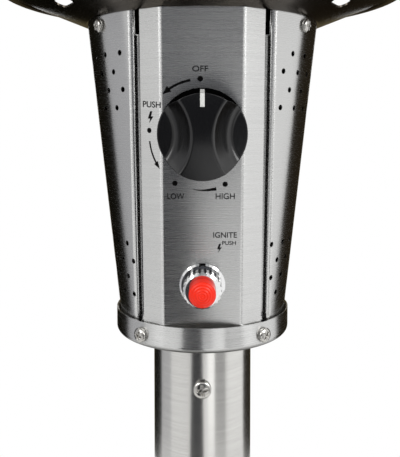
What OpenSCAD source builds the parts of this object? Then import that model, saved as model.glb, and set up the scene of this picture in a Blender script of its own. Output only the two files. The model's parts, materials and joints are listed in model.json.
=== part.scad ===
// Gas patio heater of the tabletop kind. A weighted base and a cylinder housing carry a short post,
// the burner head with its controls, the emitter screen and the reflector.
// Millimetres, +Z up. The origin is the middle of the base's underside, and the controls face -Y.

/* [Base] */
// Radius of the cast base plate
base_r = 150; // [140:1:170]
// Thickness of the base plate at its edge
base_edge_h = 10; // [8:0.5:16]
// Rise of the base plate from its edge to the ledge under the cylinder housing
base_rise = 4; // [2:0.5:8]
// Rounding of the base plate's upper edge
base_round = 4; // [1:0.5:7]
// Height of the lugs that centre the cylinder housing
lug_h = 24; // [20:1:32]
// Thickness of the lugs
lug_t = 8; // [6:0.5:10]
// Angle that a lug takes up round the base
lug_angle = 34; // [20:1:50]
// Height of a rubber foot
foot_h = 6; // [4:0.5:10]
// Radius of a rubber foot
foot_r = 14; // [10:0.5:18]
// Number of rubber feet
foot_count = 4; // [3:1:6]

/* [Cylinder housing] */
// Outer radius of the cylinder housing at its lower edge
drum_bot_r = 118; // [112:1:124]
// Outer radius of the cylinder housing below its shoulder
drum_top_r = 104; // [100:1:112]
// Height of the cylinder housing
drum_h = 280; // [270:1:320]
// Radius of the cylinder housing's rounded shoulder
shoulder_r = 26; // [16:1:34]
// Sheet thickness of the cylinder housing
drum_t = 1; // [0.8:0.1:1.5]
// Number of vent slots round the cylinder housing in each row
drum_vents = 12; // [6:1:16]
// Height of a vent slot in the cylinder housing
drum_vent_h = 36; // [20:1:44]
// Number of thumb screws that hold the housing on the base
thumb_count = 3; // [3:1:6]

/* [Post] */
// Outer radius of the post
post_r = 30; // [27:0.5:33]
// Wall of the post
post_t = 1.2; // [1:0.1:2]
// Length of the post between the cylinder housing and the burner head
post_len = 229; // [180:1:300]
// Length of the sockets that plug into the ends of the post
socket_len = 46; // [40:1:60]
// Distance of the post's bolts from its ends
bolt_inset = 28; // [20:1:36]
// Radius of a post bolt's head
bolt_head_r = 5.2; // [4.5:0.1:6.5]

/* [Head] */
// Height of the burner head, from under its pan to the top of its shell
head_h = 184; // [175:1:193]
// Outer radius of the side shell at its top edge
shell_top_r = 68.8; // [67:0.1:70]
// Outer radius of the side shell at its bottom edge
shell_bot_r = 49; // [48.5:0.1:50]
// Sheet thickness of the shell, the panel and the pans
sheet_t = 0.8; // [0.6:0.1:1]
// Outer radius of the bottom pan
ring_r = 52.6; // [52.2:0.1:55]
// Height of the bottom pan's rim
ring_h = 14.5; // [11:0.5:16]
// Rounding of the bottom pan's lower edge
ring_round = 3.5; // [2:0.5:4]
// Half width of the gap in the side shell that the panel fills
shell_gap_x = 36.3; // [36:0.1:38]
// Radius of a vent hole in the side shell
vent_r = 1.5; // [1:0.1:2]
// Height between rows of vent holes
vent_row = 9.7; // [8:0.1:11]
// Number of vent holes at each side in a row
vent_side = 5; // [3:1:7]
// Number of vent holes on each half of the back in a row
vent_back = 3; // [1:1:3]
// Angle between neighbouring vent holes of a row
vent_step = 11.7; // [10:0.1:12]
// Angle from the front to the first vent hole
vent_start = 41.6; // [41:0.1:46]

/* [Control panel] */
// Width of the panel's centre facet between its bends
panel_w = 40.5; // [38:0.5:42]
// Width of the panel's folded flanges
flange_w = 12.2; // [11:0.1:12.4]
// Angle that the flanges are folded back
flange_fold = 33; // [30:1:36]
// Outer radius of the panel's bends
panel_bend_r = 4; // [2:0.5:6]
// Distance of the panel's face from the axis at the top edge
panel_top_y = 67.5; // [66.5:0.1:68]
// Distance of the panel's face from the axis at the bottom of the head
panel_bot_y = 45.2; // [45:0.1:45.9]
// Drop from the head's top to the knob's centre
knob_drop = 63; // [60:1:66]
// Height of the igniter's centre above the head's bottom
igniter_rise = 38; // [36:1:41]

/* [Knob] */
// Radius of the knob
knob_r = 23; // [21:0.5:24]
// Height of the knob
knob_h = 21; // [18:0.5:24]
// Gap between the knob and the panel
knob_gap = 4; // [3.6:0.1:6]
// Travel of the knob when it is pushed in
push_travel = 3; // [2:0.1:3.2]
// Width of the grip bar at its waist
grip_w = 10.4; // [8:0.2:13]
// Radius of the grip's hollow sides at the top
grip_scoop_r = 29.3; // [26:0.1:34]
// How far the hollow sides slope in from top to floor
grip_slope = 8; // [5:0.5:10]
// Height of the knob's floor beside the grip
knob_floor_h = 7; // [6:0.5:10]
// Radius of the valve's stem
stem_r = 4; // [3.5:0.1:5]
// Radius of a valve screw's head
valve_head_r = 3.2; // [2.8:0.1:3.6]

/* [Igniter] */
// Radius of the igniter bezel's flange
bezel_r = 12.4; // [11.6:0.1:14]
// Radius of the igniter bezel's fluted collar
collar_r = 10.4; // [10:0.1:11]
// Number of flutes on the collar
flute_count = 22; // [16:1:28]
// Height of the igniter bezel
bezel_h = 10.5; // [9:0.5:14]
// Radius of the igniter's button
button_r = 7.1; // [6:0.1:7.3]
// Height of the button above the panel
button_h = 17.5; // [16:0.5:22]
// Travel of the button
button_travel = 5.5; // [3:0.5:6]

/* [Burner] */
// Radius of the burner pan at its rim
rim_r = 118; // [105:1:130]
// Slope of the burner pan's flare
flare_angle = 21.8; // [16:0.2:28]
// Sheet thickness of the burner pan
pan_t = 1; // [0.8:0.1:1.5]
// Number of oval holes in the flare
flare_holes = 6; // [4:1:8]
// Radius of the burner drum
burner_r = 37; // [30:0.5:38]
// Height of the burner drum
burner_h = 20; // [14:1:28]
// Number of flame ports round the burner drum
port_count = 30; // [18:1:36]

/* [Emitter and reflector] */
// Outer radius of the emitter screen
emitter_r = 66; // [65:0.1:68]
// Height of the emitter screen
emitter_h = 200; // [160:1:240]
// Sheet thickness of the emitter screen
emitter_t = 0.8; // [0.6:0.1:1.2]
// Number of hexagonal holes round the emitter screen
hex_count = 20; // [14:1:21]
// Rows of hexagonal holes
hex_rows = 9; // [5:1:9]
// Corner radius of a hexagonal hole
hex_r = 8.6; // [6:0.1:8.8]
// Height of the reflector above the emitter's cap
reflector_gap = 28; // [20:1:60]
// Radius of the reflector
reflector_r = 266.5; // [200:0.5:300]
// Radius of the reflector's flat centre
hub_r = 62; // [56:1:90]
// Slope of the reflector
reflector_slope = 12; // [6:0.5:20]
// Sheet thickness of the reflector
reflector_t = 1.2; // [0.8:0.1:2]
// Number of posts that carry the reflector
stud_count = 3; // [3:1:4]
// Distance of the reflector's posts from the axis
stud_ring_r = 35; // [28:0.5:44]

/* [Hidden] */
$fn = 72;

// Clearances: fixed fits, running fits and seats that part
fit = 0.05;
run_fit = 0.1;
seat_gap = 0.2;
// Overshoot of a cutter past the face that it cuts
past = 1;

// Heights, from the floor up
ledge_z = foot_h + base_edge_h + base_rise;
drum_z = ledge_z + seat_gap;
drum_top_z = drum_z + drum_h;
foot_flange_t = 3;
post_z = drum_top_z + foot_flange_t;
head_z = post_z + post_len;
floor_z = head_z + sheet_t;
seat_z = floor_z + 0.3;
head_top_z = head_z + head_h;
pan_z = head_top_z + pan_t;
emitter_top_z = pan_z + emitter_h;
cap_t = 1;
cap_z = emitter_top_z + cap_t;
reflector_z = cap_z + reflector_gap;
washer_t = 1.4;
washer_z = reflector_z + reflector_t;
wing_z = washer_z + washer_t;

// Drum and lugs: both follow one cone
drum_slope = (drum_bot_r - drum_top_r) / (drum_h - shoulder_r);
shoulder_z = drum_top_z - shoulder_r;
lid_r = drum_top_r - drum_t - fit;
lid_skirt_h = 8;
ledge_margin = 6;
lug_gap = 0.6;
lug_bot_r = drum_bot_r - drum_t - lug_gap;
lug_top_r = lug_bot_r - lug_h * drum_slope;
foot_angles = spread(foot_count, 45);
thumb_angles = spread(thumb_count, 60);
thumb_z = ledge_z + lug_h / 2;
thumb_shank_r = 3;
thumb_head_r = 8;
thumb_head_h = 9;
thumb_grips = 16;
thumb_grip_r = 1;
drum_vent_w = 7;
drum_vent_angles = spread(drum_vents, 15);
drum_vent_levels = [ledge_z + lug_h + drum_vent_h, shoulder_z - drum_vent_h];
thumb_wall_r = drum_bot_r - (thumb_z - drum_z) * drum_slope;
drum_hole_r = 16;
drum_cut = 20;
foot_peg_r = 4;
foot_peg_h = 5;
foot_taper = 2;
foot_ring_r = base_r - foot_r - 8;

// Post and its sockets
post_in_r = post_r - post_t;
socket_r = post_in_r - 0.3;
socket_t = 1.6;
bolt_r = 3;
bolt_len = 6;
post_flange_r = 56;
foot_screw_ring_r = 46;
neck_flange_r = 42;
neck_flange_t = 2;
neck_flange_z = floor_z + neck_flange_t;
neck_screw_ring_r = 36;
screw_r = 2;
foot_screw_angles = spread(4, 45);
neck_screw_angles = spread(4, 45);
post_bolt_angles = spread(2, 90);
neck_bolt_angles = spread(3);
bolt_head_h = 3.2;
// Cutter that goes through a wall or a flange, and a screw's end past its nut
cut = 30;
screw_end = 2;
screw_head_r = 3.8;
screw_head_h = 2.6;
small_head_r = 3;
small_head_h = 2;
hex_nut_r = 4;
hex_nut_h = 3;
small_nut_r = 3.6;

// Regulator, hung under the top of the cylinder housing
reg_body_r = 29;
reg_body_h = 22;
reg_ear_ring_r = 36;
reg_spacer_h = 12;
reg_spacer_r = 5;
reg_ear_h = 6;
reg_ear_r = 7;
reg_angles = spread(3);
reg_z = drum_top_z - drum_t - reg_spacer_h - reg_ear_h;
inlet_r = 12.7;
inlet_depth = 16;
inlet_wall = 4;
inlet_h = 20;
cap_h = 6;
reg_spigot_r = 6;
reg_hex_r = reg_spigot_r + 4;
reg_hex_h = cap_h + 3;
breather_r = 1.2;
breather_y = reg_body_r - 10;
reg_bottom = reg_z - reg_body_h + reg_ear_h;
reg_top = reg_z + reg_ear_h;
hose_r = 5;
hose_bend = 30;
reg_spigot_top = drum_top_z + 14;

// Side shell and pans
ring_in_r = ring_r - sheet_t;
shell_h = head_top_z - seat_z;
shell_slope = (shell_top_r - shell_bot_r) / shell_h;
shell_angle = atan(shell_slope);
skirt_h = 12;
skirt_gap = 0.05;
vent_rows = [21, head_h - 58];
vent_edge = vent_r + 0.8;
igniter_drop = head_h - igniter_rise;
vent_row_count = 4;
pan_screw_angles = [-124, -56, 56, 124];
pan_screw_drop = 4.8;
sheet_screw_len = 6;
ring_screw_angles = [-140, -40.4, 40.4, 140];
ring_screw_z = head_z + ring_h / 2;
cleat_t = 2;
front_cleat_gap = 66;
side_cleat_gap = 84;
ring_head_r = 4.1;
ring_head_h = 3;
cleat_h = 10;
cleat_r = shell_bot_r - sheet_t - 2.1;

// Control panel: its face leans out towards the top
panel_tilt = atan((panel_top_y - panel_bot_y) / head_h);
panel_z = head_z + ring_round;
panel_box = 2 * panel_top_y;
panel_lip = 13;
lip_w = panel_w - 3;
panel_screw_y = panel_top_y - 9;
panel_screw_x = 12;
valve_hole_r = 7.5;

// Valve behind the panel
valve_r = 15;
valve_len = 40;
valve_ear_x = 15;
valve_ear_r = 5;
valve_plate_t = 4;
sleeve_r = 7;
sleeve_top = -2;
sleeve_len = 12;
stem_collar_r = 5.6;
stem_collar_h = 1.6;
stem_flat = 1.2;
stem_top = knob_gap + 14;
clip_t = 0.8;
clip_r = 6.2;
clip_gap = 3;
stem_tail = 3;
valve_bore = sleeve_top - sleeve_len - clip_t - stem_tail - push_travel - 1;
inlet_y = -36;
inlet_bottom = head_top_z - knob_drop - 29;
outlet_y = -33;
pilot_y = -47;
inlet_stub_r = 6.5;
inlet_stub_h = 30;
outlet_stub_r = 5.5;
outlet_stub_h = 24;
pilot_stub_r = 4;
pilot_stub_h = 16;
stub_nut_step = 1.8;
stub_nut_h = 6;
valve_screw_len = 11;
pilot_base = head_top_z - knob_drop + valve_r + 6;
rear_y = -panel_top_y + knob_drop * tan(panel_tilt) + valve_len * cos(panel_tilt);
rear_z = head_top_z - knob_drop + valve_len * sin(panel_tilt);

// Knob
knob_skirt_t = 2.4;
knob_edge = 1.6;
hub_out_r = 7.4;
pointer_w = 2.4;
pointer_start = 0.59 * knob_r;
pointer_depth = 4;

// Igniter
barrel_r = 8;
barrel_front = 6;
barrel_len = 34;
button_tail = 6;
button_dome_r = 13;
bezel_flange_t = 1.2;
bezel_bevel = 1;
rim_bevel = 1.4;
flute_r = 1;
nut_t = 4.5;
nut_r = 11.5;
terminal_r = 2.2;
terminal_len = 5;
igniter_len = barrel_len + terminal_len;
igniter_rear_y = -panel_top_y + igniter_drop * tan(panel_tilt) + igniter_len * cos(panel_tilt);
igniter_rear_z = head_top_z - igniter_drop + igniter_len * sin(panel_tilt);

// Burner and pilot
burner_hole_r = 15;
venturi_r = 11;
venturi_t = 1;
venturi_rise = 26;
venturi_drop = 8;
burner_z = pan_z + venturi_rise;
burner_flange_r = 26;
burner_flange_t = 1.5;
burner_screw_ring_r = burner_flange_r - 5;
burner_screw_angles = spread(3, 60);
burner_wall = 1.2;
burner_crown = 3;
port_w = 3;
mouth_h = 5;
mouth_flare = 3;
jet_top = head_top_z - venturi_drop - 3;
jet_h = 8;
jet_hex_r = 6.5;
jet_tip_r = 2.5;
jet_tip_h = 2;
jet_bottom = jet_top - jet_h;
supply_r = 3.2;
pilot_tube_r = 2;
supply_bend = 9;
supply_z = jet_bottom - supply_bend - 3;
outlet_top = supply_z - supply_bend - 1;
pilot_x = 16;
pilot_hole_r = 4;
bracket_t = 1.2;
bracket_z = pan_z + bracket_t;
pilot_top = bracket_z + 20;
insulator_top = bracket_z + 22;
insulator_bottom = head_top_z - 14;
insulator_r = 3;
insulator_rim_r = 4.4;
insulator_rim_h = 4;
probe_r = 1.8;
bracket_margin = 6;
bracket_depth = 13;
pilot_burner_r = 4.6;
pilot_bore_r = 3.6;
pilot_hex_r = 6;
pilot_hex_h = 6;
pin_r = 1;
pin_rise = 6;
pin_reach = 9;
lead_r = 1.6;
lead_bend = 5;
tilt_y = 33;
tilt_box = [24, 15, 12];
tilt_dome_r = 7;
tilt_dome_h = 6;
tilt_top = neck_flange_z + tilt_box.z + tilt_dome_h;
tilt_lead_r = 1.2;
tilt_lead_x = [-7, -2.5];

// Emitter and reflector
collar_h = 14;
collar_out_r = emitter_r - emitter_t - fit;
collar_foot = 6;
emitter_screw_z = pan_z + collar_h / 2;
emitter_screw_angles = spread(4, 45);
screen_border = 24;
screen_top_border = 16;
hex_row_h = (emitter_h - screen_border - screen_top_border) / hex_rows;
flare_hole_out = 18;
flare_hole_w = 7;
flare_hole_len = 18;
cap_lip = 8;
stud_r = 3;
stud_angles = spread(stud_count);
stud_end = 2;
post_nut_h = 5;
post_nut_r = 5.8;
washer_r = 9;
hex_body_r = 6.5;
bead_r = 3;
rim_bead_r = 2.4;
reflector_drop = (reflector_r - hub_r) * tan(reflector_slope);
wing_hub_r = 6;
wing_hub_h = 8;
wing_t = 2.4;
wing_r = 4.5;
wing_x = 10.5;
wing_y = 10;
wing_tilt = 37;

// Places where things are put
function shell_radius(z) = shell_top_r - (head_top_z - z) * shell_slope;
function panel_y(drop) = panel_top_y - drop * tan(panel_tilt);
function spread(n, start = 0) = [for (i = [0:n - 1]) start + i * 360 / n];
function unit(v) = v / norm(v);

// On a circle at an angle from the front, with the local z axis pointing outwards
module radial(angle, r, z, tilt = 0)
    rotate([0, 0, angle]) translate([0, -r, z]) rotate([90 + tilt, 0, 0]) children();

// On the panel's face, a drop below the head's top: x right, y up the panel, z outwards
module on_panel(drop)
    translate([0, -panel_y(drop), head_top_z - drop]) rotate([90 + panel_tilt, 0, 0]) children();

// Wedge of a disc, centred on an angle from the front
module wedge(angle, spread_angle, r, z, h)
    rotate([0, 0, angle]) translate([0, 0, z]) linear_extrude(h)
        polygon([[0, 0], [-r * tan(spread_angle / 2), -r], [r * tan(spread_angle / 2), -r]]);

module ring(r_out, r_in, h)
    difference() {
        cylinder(r = r_out, h = h);
        translate([0, 0, -past]) cylinder(r = r_in, h = h + 2 * past);
    }

// Hexagonal nut or fitting, by its corner radius
module hex(r, h) cylinder(r = r, h = h, $fn = 6);

// Pan-head screw, seated at z = 0 with its shank below
module screw(head_r, head_h, r, len) {
    cylinder(r = head_r, h = head_h / 2);
    translate([0, 0, head_h / 2]) cylinder(r1 = head_r, r2 = head_r * 0.6, h = head_h / 2);
    translate([0, 0, -len]) cylinder(r = r, h = len);
}

// Quarter of a flat ring, centred on its bend, in the quadrant that the signs give
module bend_2d(r, t, sx, sy)
    intersection() {
        difference() {
            circle(r);
            circle(r - t);
        }
        translate([sx < 0 ? -r : 0, sy < 0 ? -r : 0]) square(r);
    }

module slot_2d(w, h) {
    square([w, h - w], center = true);
    for (end = [-1, 1]) translate([0, end * (h - w) / 2]) circle(w / 2);
}

// Each ring of a tube is a point of its route and the direction there. A corner gets an arc of rings.
function bend_rings(corner, d1, d2, bend_r) =
    let (angle = acos(d1 * d2), inward = unit(d2 - d1 * (d1 * d2)), steps = ceil(angle / 18),
        centre = corner - d1 * bend_r * tan(angle / 2) + inward * bend_r)
    [for (k = [0:steps]) let (a = angle * k / steps)
        [centre + bend_r * (d1 * sin(a) - inward * cos(a)), d1 * cos(a) + inward * sin(a)]];
// A direction square to each ring's own, carried along the route without a twist
function carried(rings, side, i = 0) = i == len(rings) ? [] :
    let (square_on = unit(side - (side * rings[i][1]) * rings[i][1]))
    concat([square_on], carried(rings, square_on, i + 1));

// Tube or lead along a route, with each corner rounded
module bent_tube(route, r, bend_r, sides = 10) {
    last = len(route) - 1;
    way = [for (i = [1:last]) unit(route[i] - route[i - 1])];
    rings = concat([[route[0], way[0]]],
        [for (i = [1:last - 1]) each bend_rings(route[i], way[i - 1], way[i], bend_r)],
        [[route[last], way[last - 1]]]);
    across = carried(rings, [0.6, 0.64, 0.48]);
    n = len(rings);
    points = [for (i = [0:n - 1], k = [0:sides - 1]) let (a = 360 * k / sides)
        rings[i][0] + r * (across[i] * cos(a) + cross(rings[i][1], across[i]) * sin(a))];
    walls = [for (i = [0:n - 2], k = [0:sides - 1])
        let (j = (k + 1) % sides, low = i * sides, high = low + sides)
        each [[low + k, high + k, high + j], [low + k, high + j, low + j]]];
    end = (n - 1) * sides;
    caps = [for (k = [1:sides - 2]) each [[0, k, k + 1], [end, end + k + 1, end + k]]];
    polyhedron(points, concat(walls, caps));
}

// Base

module base_plate() color("#3a3a3c")
    difference() {
        union() {
            rotate_extrude() {
                translate([0, foot_h]) square([base_r - base_round, base_edge_h]);
                translate([0, foot_h]) square([base_r, base_edge_h - base_round]);
                translate([base_r - base_round, foot_h + base_edge_h - base_round]) circle(base_round);
                polygon([[0, foot_h], [base_r - base_round, foot_h + base_edge_h],
                    [drum_bot_r + ledge_margin, ledge_z], [0, ledge_z]]);
            }
            intersection() {
                rotate_extrude() polygon([[lug_top_r - lug_t, ledge_z - past], [lug_bot_r, ledge_z - past],
                    [lug_bot_r, ledge_z], [lug_top_r, ledge_z + lug_h],
                    [lug_top_r - lug_t, ledge_z + lug_h]]);
                for (a = thumb_angles) wedge(a, lug_angle, base_r, ledge_z - 2 * past, lug_h + 4 * past);
            }
        }
        for (a = foot_angles) rotate([0, 0, a]) translate([0, -foot_ring_r, foot_h - past])
            cylinder(r = foot_peg_r + fit, h = foot_peg_h + past + fit);
        for (a = thumb_angles) radial(a, lug_bot_r - lug_t, thumb_z)
            cylinder(r = thumb_shank_r + fit, h = 4 * lug_t, center = true);
    }

module base_feet() color("#1c1c1c")
    for (a = foot_angles) rotate([0, 0, a]) translate([0, -foot_ring_r, 0]) {
        cylinder(r1 = foot_r - foot_taper, r2 = foot_r, h = foot_h / 2);
        translate([0, 0, foot_h / 2]) cylinder(r = foot_r, h = foot_h / 2);
        translate([0, 0, foot_h]) cylinder(r = foot_peg_r, h = foot_peg_h);
    }

module thumb_screws() color("#2a2a2a")
    for (a = thumb_angles) radial(a, thumb_wall_r + thumb_head_r * drum_slope + seat_gap, thumb_z) {
        difference() {
            cylinder(r = thumb_head_r, h = thumb_head_h);
            for (i = spread(thumb_grips)) rotate([0, 0, i])
                translate([thumb_head_r + thumb_grip_r / 2, 0, thumb_grip_r])
                    cylinder(r = thumb_grip_r, h = thumb_head_h);
        }
        translate([0, 0, -lug_t]) cylinder(r = thumb_shank_r, h = lug_t + past);
    }

// Cylinder housing, post foot and regulator

module cylinder_housing() color("silver")
    difference() {
        rotate_extrude() polygon([[drum_bot_r - drum_t, drum_z], [drum_bot_r, drum_z],
            [drum_top_r, shoulder_z], [drum_top_r - drum_t, shoulder_z]]);
        for (a = thumb_angles) radial(a, thumb_wall_r, thumb_z) {
            slot_r = thumb_shank_r + seat_gap;
            cylinder(r = slot_r, h = drum_cut, center = true);
            translate([-slot_r, -lug_h, -drum_cut / 2]) cube([2 * slot_r, lug_h, drum_cut]);
        }
        for (a = drum_vent_angles, z = drum_vent_levels) radial(a, drum_bot_r, z)
            linear_extrude(2 * drum_cut, center = true) slot_2d(drum_vent_w, drum_vent_h);
    }

// Pressed lid that plugs into the top of the housing's wall
module housing_lid() color("silver")
    difference() {
        rotate_extrude() {
            translate([lid_r - drum_t, shoulder_z - lid_skirt_h]) square([drum_t, lid_skirt_h]);
            translate([lid_r - shoulder_r, shoulder_z]) bend_2d(shoulder_r, drum_t, 1, 1);
            translate([drum_hole_r, drum_top_z - drum_t])
                square([lid_r - shoulder_r - drum_hole_r, drum_t]);
        }
        for (a = foot_screw_angles) rotate([0, 0, a]) translate([0, -foot_screw_ring_r, drum_top_z])
            cylinder(r = screw_r + fit, h = drum_cut, center = true);
        for (a = reg_angles) rotate([0, 0, a]) translate([0, -reg_ear_ring_r, drum_top_z])
            cylinder(r = screw_r + fit, h = drum_cut, center = true);
    }

module post_foot() color("silver")
    difference() {
        translate([0, 0, drum_top_z]) {
            cylinder(r = post_flange_r, h = foot_flange_t);
            cylinder(r = socket_r, h = foot_flange_t + socket_len);
        }
        translate([0, 0, drum_top_z - past])
            cylinder(r = socket_r - socket_t, h = foot_flange_t + socket_len + 2 * past);
        for (a = foot_screw_angles) rotate([0, 0, a]) translate([0, -foot_screw_ring_r, drum_top_z - past])
            cylinder(r = screw_r + fit, h = foot_flange_t + 2 * past);
        for (a = reg_angles) rotate([0, 0, a]) translate([0, -reg_ear_ring_r, drum_top_z - past])
            cylinder(r = screw_r + fit, h = foot_flange_t + 2 * past);
        for (a = post_bolt_angles) radial(a, post_r, post_z + bolt_inset)
            cylinder(r = bolt_r + fit, h = cut, center = true);
    }

// Screws through the post's foot, each with its nut under the housing's top
module foot_screws() color("gainsboro")
    for (a = foot_screw_angles) rotate([0, 0, a]) translate([0, -foot_screw_ring_r, post_z]) {
        screw(screw_head_r, screw_head_h, screw_r, foot_flange_t + drum_t + hex_nut_h + screw_end);
        translate([0, 0, -foot_flange_t - drum_t - hex_nut_h]) hex(hex_nut_r, hex_nut_h);
    }

module regulator() color("darkgray")
    difference() {
        union() {
            translate([0, 0, reg_bottom]) cylinder(r = reg_body_r, h = reg_body_h);
            translate([0, 0, reg_bottom - inlet_h]) cylinder(r = inlet_r + inlet_wall, h = inlet_h + past);
            for (a = reg_angles) rotate([0, 0, a]) translate([0, -reg_ear_ring_r, reg_z]) {
                cylinder(r = reg_ear_r, h = reg_ear_h);
                translate([-reg_ear_r, 0, 0])
                    cube([2 * reg_ear_r, reg_ear_ring_r - reg_body_r + 2 * past, reg_ear_h]);
            }
            translate([0, 0, reg_top]) hex(reg_hex_r, reg_hex_h);
            translate([0, 0, reg_top]) cylinder(r = reg_spigot_r, h = reg_spigot_top - reg_top);
        }
        translate([0, 0, reg_bottom - inlet_h - past]) cylinder(r = inlet_r, h = inlet_depth + past);
        for (a = reg_angles) rotate([0, 0, a]) translate([0, -reg_ear_ring_r, reg_z - past])
            cylinder(r = screw_r + fit, h = reg_ear_h + 2 * past);
    }

// Crimped cover of the regulator's diaphragm
module regulator_cap() color("gainsboro")
    translate([0, 0, reg_top])
        difference() {
            cylinder(r1 = reg_body_r - cap_h / 3, r2 = reg_body_r - cap_h, h = cap_h);
            translate([0, 0, -past]) cylinder(r = reg_hex_r + fit, h = cap_h + 2 * past);
            translate([0, breather_y, 0]) cylinder(r = breather_r, h = cap_h + past);
        }

module regulator_spacers() color("gainsboro")
    for (a = reg_angles) rotate([0, 0, a]) translate([0, -reg_ear_ring_r, reg_top])
        ring(reg_spacer_r, screw_r + fit, reg_spacer_h);

module regulator_screws() color("gainsboro")
    for (a = reg_angles) rotate([0, 0, a]) translate([0, -reg_ear_ring_r, reg_z]) mirror([0, 0, 1])
        screw(screw_head_r, screw_head_h, screw_r, reg_ear_h + reg_spacer_h + drum_t + foot_flange_t);

// Hose from the regulator up the post to the valve
hose_route = [[0, 0, reg_spigot_top], [0, 0, head_z - 105], [14, 10, head_z - 25],
    [14, 10, inlet_bottom - 44], [0, inlet_y, inlet_bottom - 18], [0, inlet_y, inlet_bottom]];
module gas_hose() color("#222222") bent_tube(hose_route, hose_r, hose_bend);

// Post and neck

module post() color("silver")
    difference() {
        translate([0, 0, post_z]) ring(post_r, post_in_r, post_len);
        for (a = post_bolt_angles) radial(a, post_r, post_z + bolt_inset)
            cylinder(r = bolt_r + fit, h = cut, center = true);
        for (a = neck_bolt_angles) radial(a, post_r, head_z - bolt_inset)
            cylinder(r = bolt_r + fit, h = cut, center = true);
    }

module post_bolts() color("gainsboro")
    for (a = post_bolt_angles) radial(a, post_r, post_z + bolt_inset)
        screw(bolt_head_r, bolt_head_h, bolt_r, bolt_len);

module neck_tube() color("silver")
    difference() {
        union() {
            translate([0, 0, floor_z - socket_len]) cylinder(r = socket_r, h = socket_len + neck_flange_t);
            translate([0, 0, floor_z]) cylinder(r = neck_flange_r, h = neck_flange_t);
        }
        translate([0, 0, floor_z - socket_len - past])
            cylinder(r = socket_r - socket_t, h = socket_len + neck_flange_t + 2 * past);
        for (a = neck_bolt_angles) radial(a, post_r, head_z - bolt_inset)
            cylinder(r = bolt_r + fit, h = cut, center = true);
        for (a = neck_screw_angles) rotate([0, 0, a]) translate([0, -neck_screw_ring_r, floor_z - past])
            cylinder(r = screw_r + fit, h = neck_flange_t + 2 * past);
    }

module neck_bolts() color("gainsboro")
    for (a = neck_bolt_angles) radial(a, post_r, head_z - bolt_inset)
        screw(bolt_head_r, bolt_head_h, bolt_r, bolt_len);

// Screws that hold the neck's flange on the bottom pan, each with its nut under the pan
module neck_screws() color("gainsboro")
    for (a = neck_screw_angles) rotate([0, 0, a]) translate([0, -neck_screw_ring_r, neck_flange_z]) {
        screw(screw_head_r, screw_head_h, screw_r, neck_flange_t + sheet_t + hex_nut_h + screw_end);
        translate([0, 0, -neck_flange_t - sheet_t - hex_nut_h]) hex(hex_nut_r, hex_nut_h);
    }

// Burner head: pan, shell and panel

module bottom_pan() color("silver")
    difference() {
        rotate_extrude() {
            translate([socket_r + fit, head_z]) square([ring_r - ring_round - socket_r - fit, sheet_t]);
            translate([ring_r - ring_round, head_z + ring_round]) bend_2d(ring_round, sheet_t, 1, -1);
            translate([ring_in_r, head_z + ring_round]) square([sheet_t, ring_h - ring_round]);
        }
        for (a = ring_screw_angles) radial(a, ring_r, ring_screw_z)
            cylinder(r = screw_r + fit, h = cut / 3, center = true);
        for (a = neck_screw_angles) rotate([0, 0, a]) translate([0, -neck_screw_ring_r, head_z - past])
            cylinder(r = screw_r + fit, h = sheet_t + 2 * past);
    }

module ring_screws() color("gainsboro")
    for (a = ring_screw_angles) radial(a, ring_r, ring_screw_z)
        screw(ring_head_r, ring_head_h, screw_r, ring_r - cleat_r + cleat_t);

// Clamping strips behind the shell's edges, which the ring screws draw against the bottom pan
module ring_cleats() color("darkgray")
    difference() {
        translate([0, 0, ring_screw_z - cleat_h / 2 + 1]) ring(cleat_r, cleat_r - cleat_t, cleat_h);
        for (side = [0, 1]) rotate([0, 0, 180 * side]) {
            wedge(0, front_cleat_gap, ring_r, head_z - past, 2 * ring_h);
            wedge(90, side_cleat_gap, ring_r, head_z - past, 2 * ring_h);
        }
        for (a = ring_screw_angles) radial(a, ring_r, ring_screw_z)
            cylinder(r = screw_r + fit, h = cut, center = true);
    }

// Conical wrap with two bands of staggered vent holes, open at the front for the panel
module side_shell() color("silver")
    difference() {
        rotate_extrude() polygon([[shell_bot_r - sheet_t, seat_z], [shell_bot_r, seat_z],
            [shell_top_r, head_top_z], [shell_top_r - sheet_t, head_top_z]]);
        translate([-shell_gap_x, -2 * shell_top_r, head_z - past])
            cube([2 * shell_gap_x, 2 * shell_top_r, head_h + 2 * past]);
        for (band = [0, 1], row = [0:vent_row_count - 1], side = [-1, 1]) {
            z = head_top_z - vent_rows[band] - row * vent_row;
            stagger = ((band + row) % 2 == 0) == (side < 0) ? 0 : vent_step / 2;
            start = max(vent_start, asin((shell_gap_x + vent_edge) / shell_radius(z))) + stagger;
            at_side = [for (i = [0:vent_side - 1]) start + i * vent_step];
            at_back = [for (i = [0:vent_back - 1]) 180 - vent_step / 2 - stagger - i * vent_step];
            for (a = concat(at_side, at_back)) radial(side * a, shell_radius(z), z, shell_angle)
                cylinder(r = vent_r, h = 8 * sheet_t, center = true, $fn = 24);
        }
        for (a = pan_screw_angles) radial(a, shell_radius(head_top_z - pan_screw_drop),
            head_top_z - pan_screw_drop, shell_angle) cylinder(r = screw_r + fit, h = cut / 3, center = true);
        for (a = ring_screw_angles) radial(a, ring_r, ring_screw_z)
            cylinder(r = screw_r + fit, h = cut / 2, center = true);
    }

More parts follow.
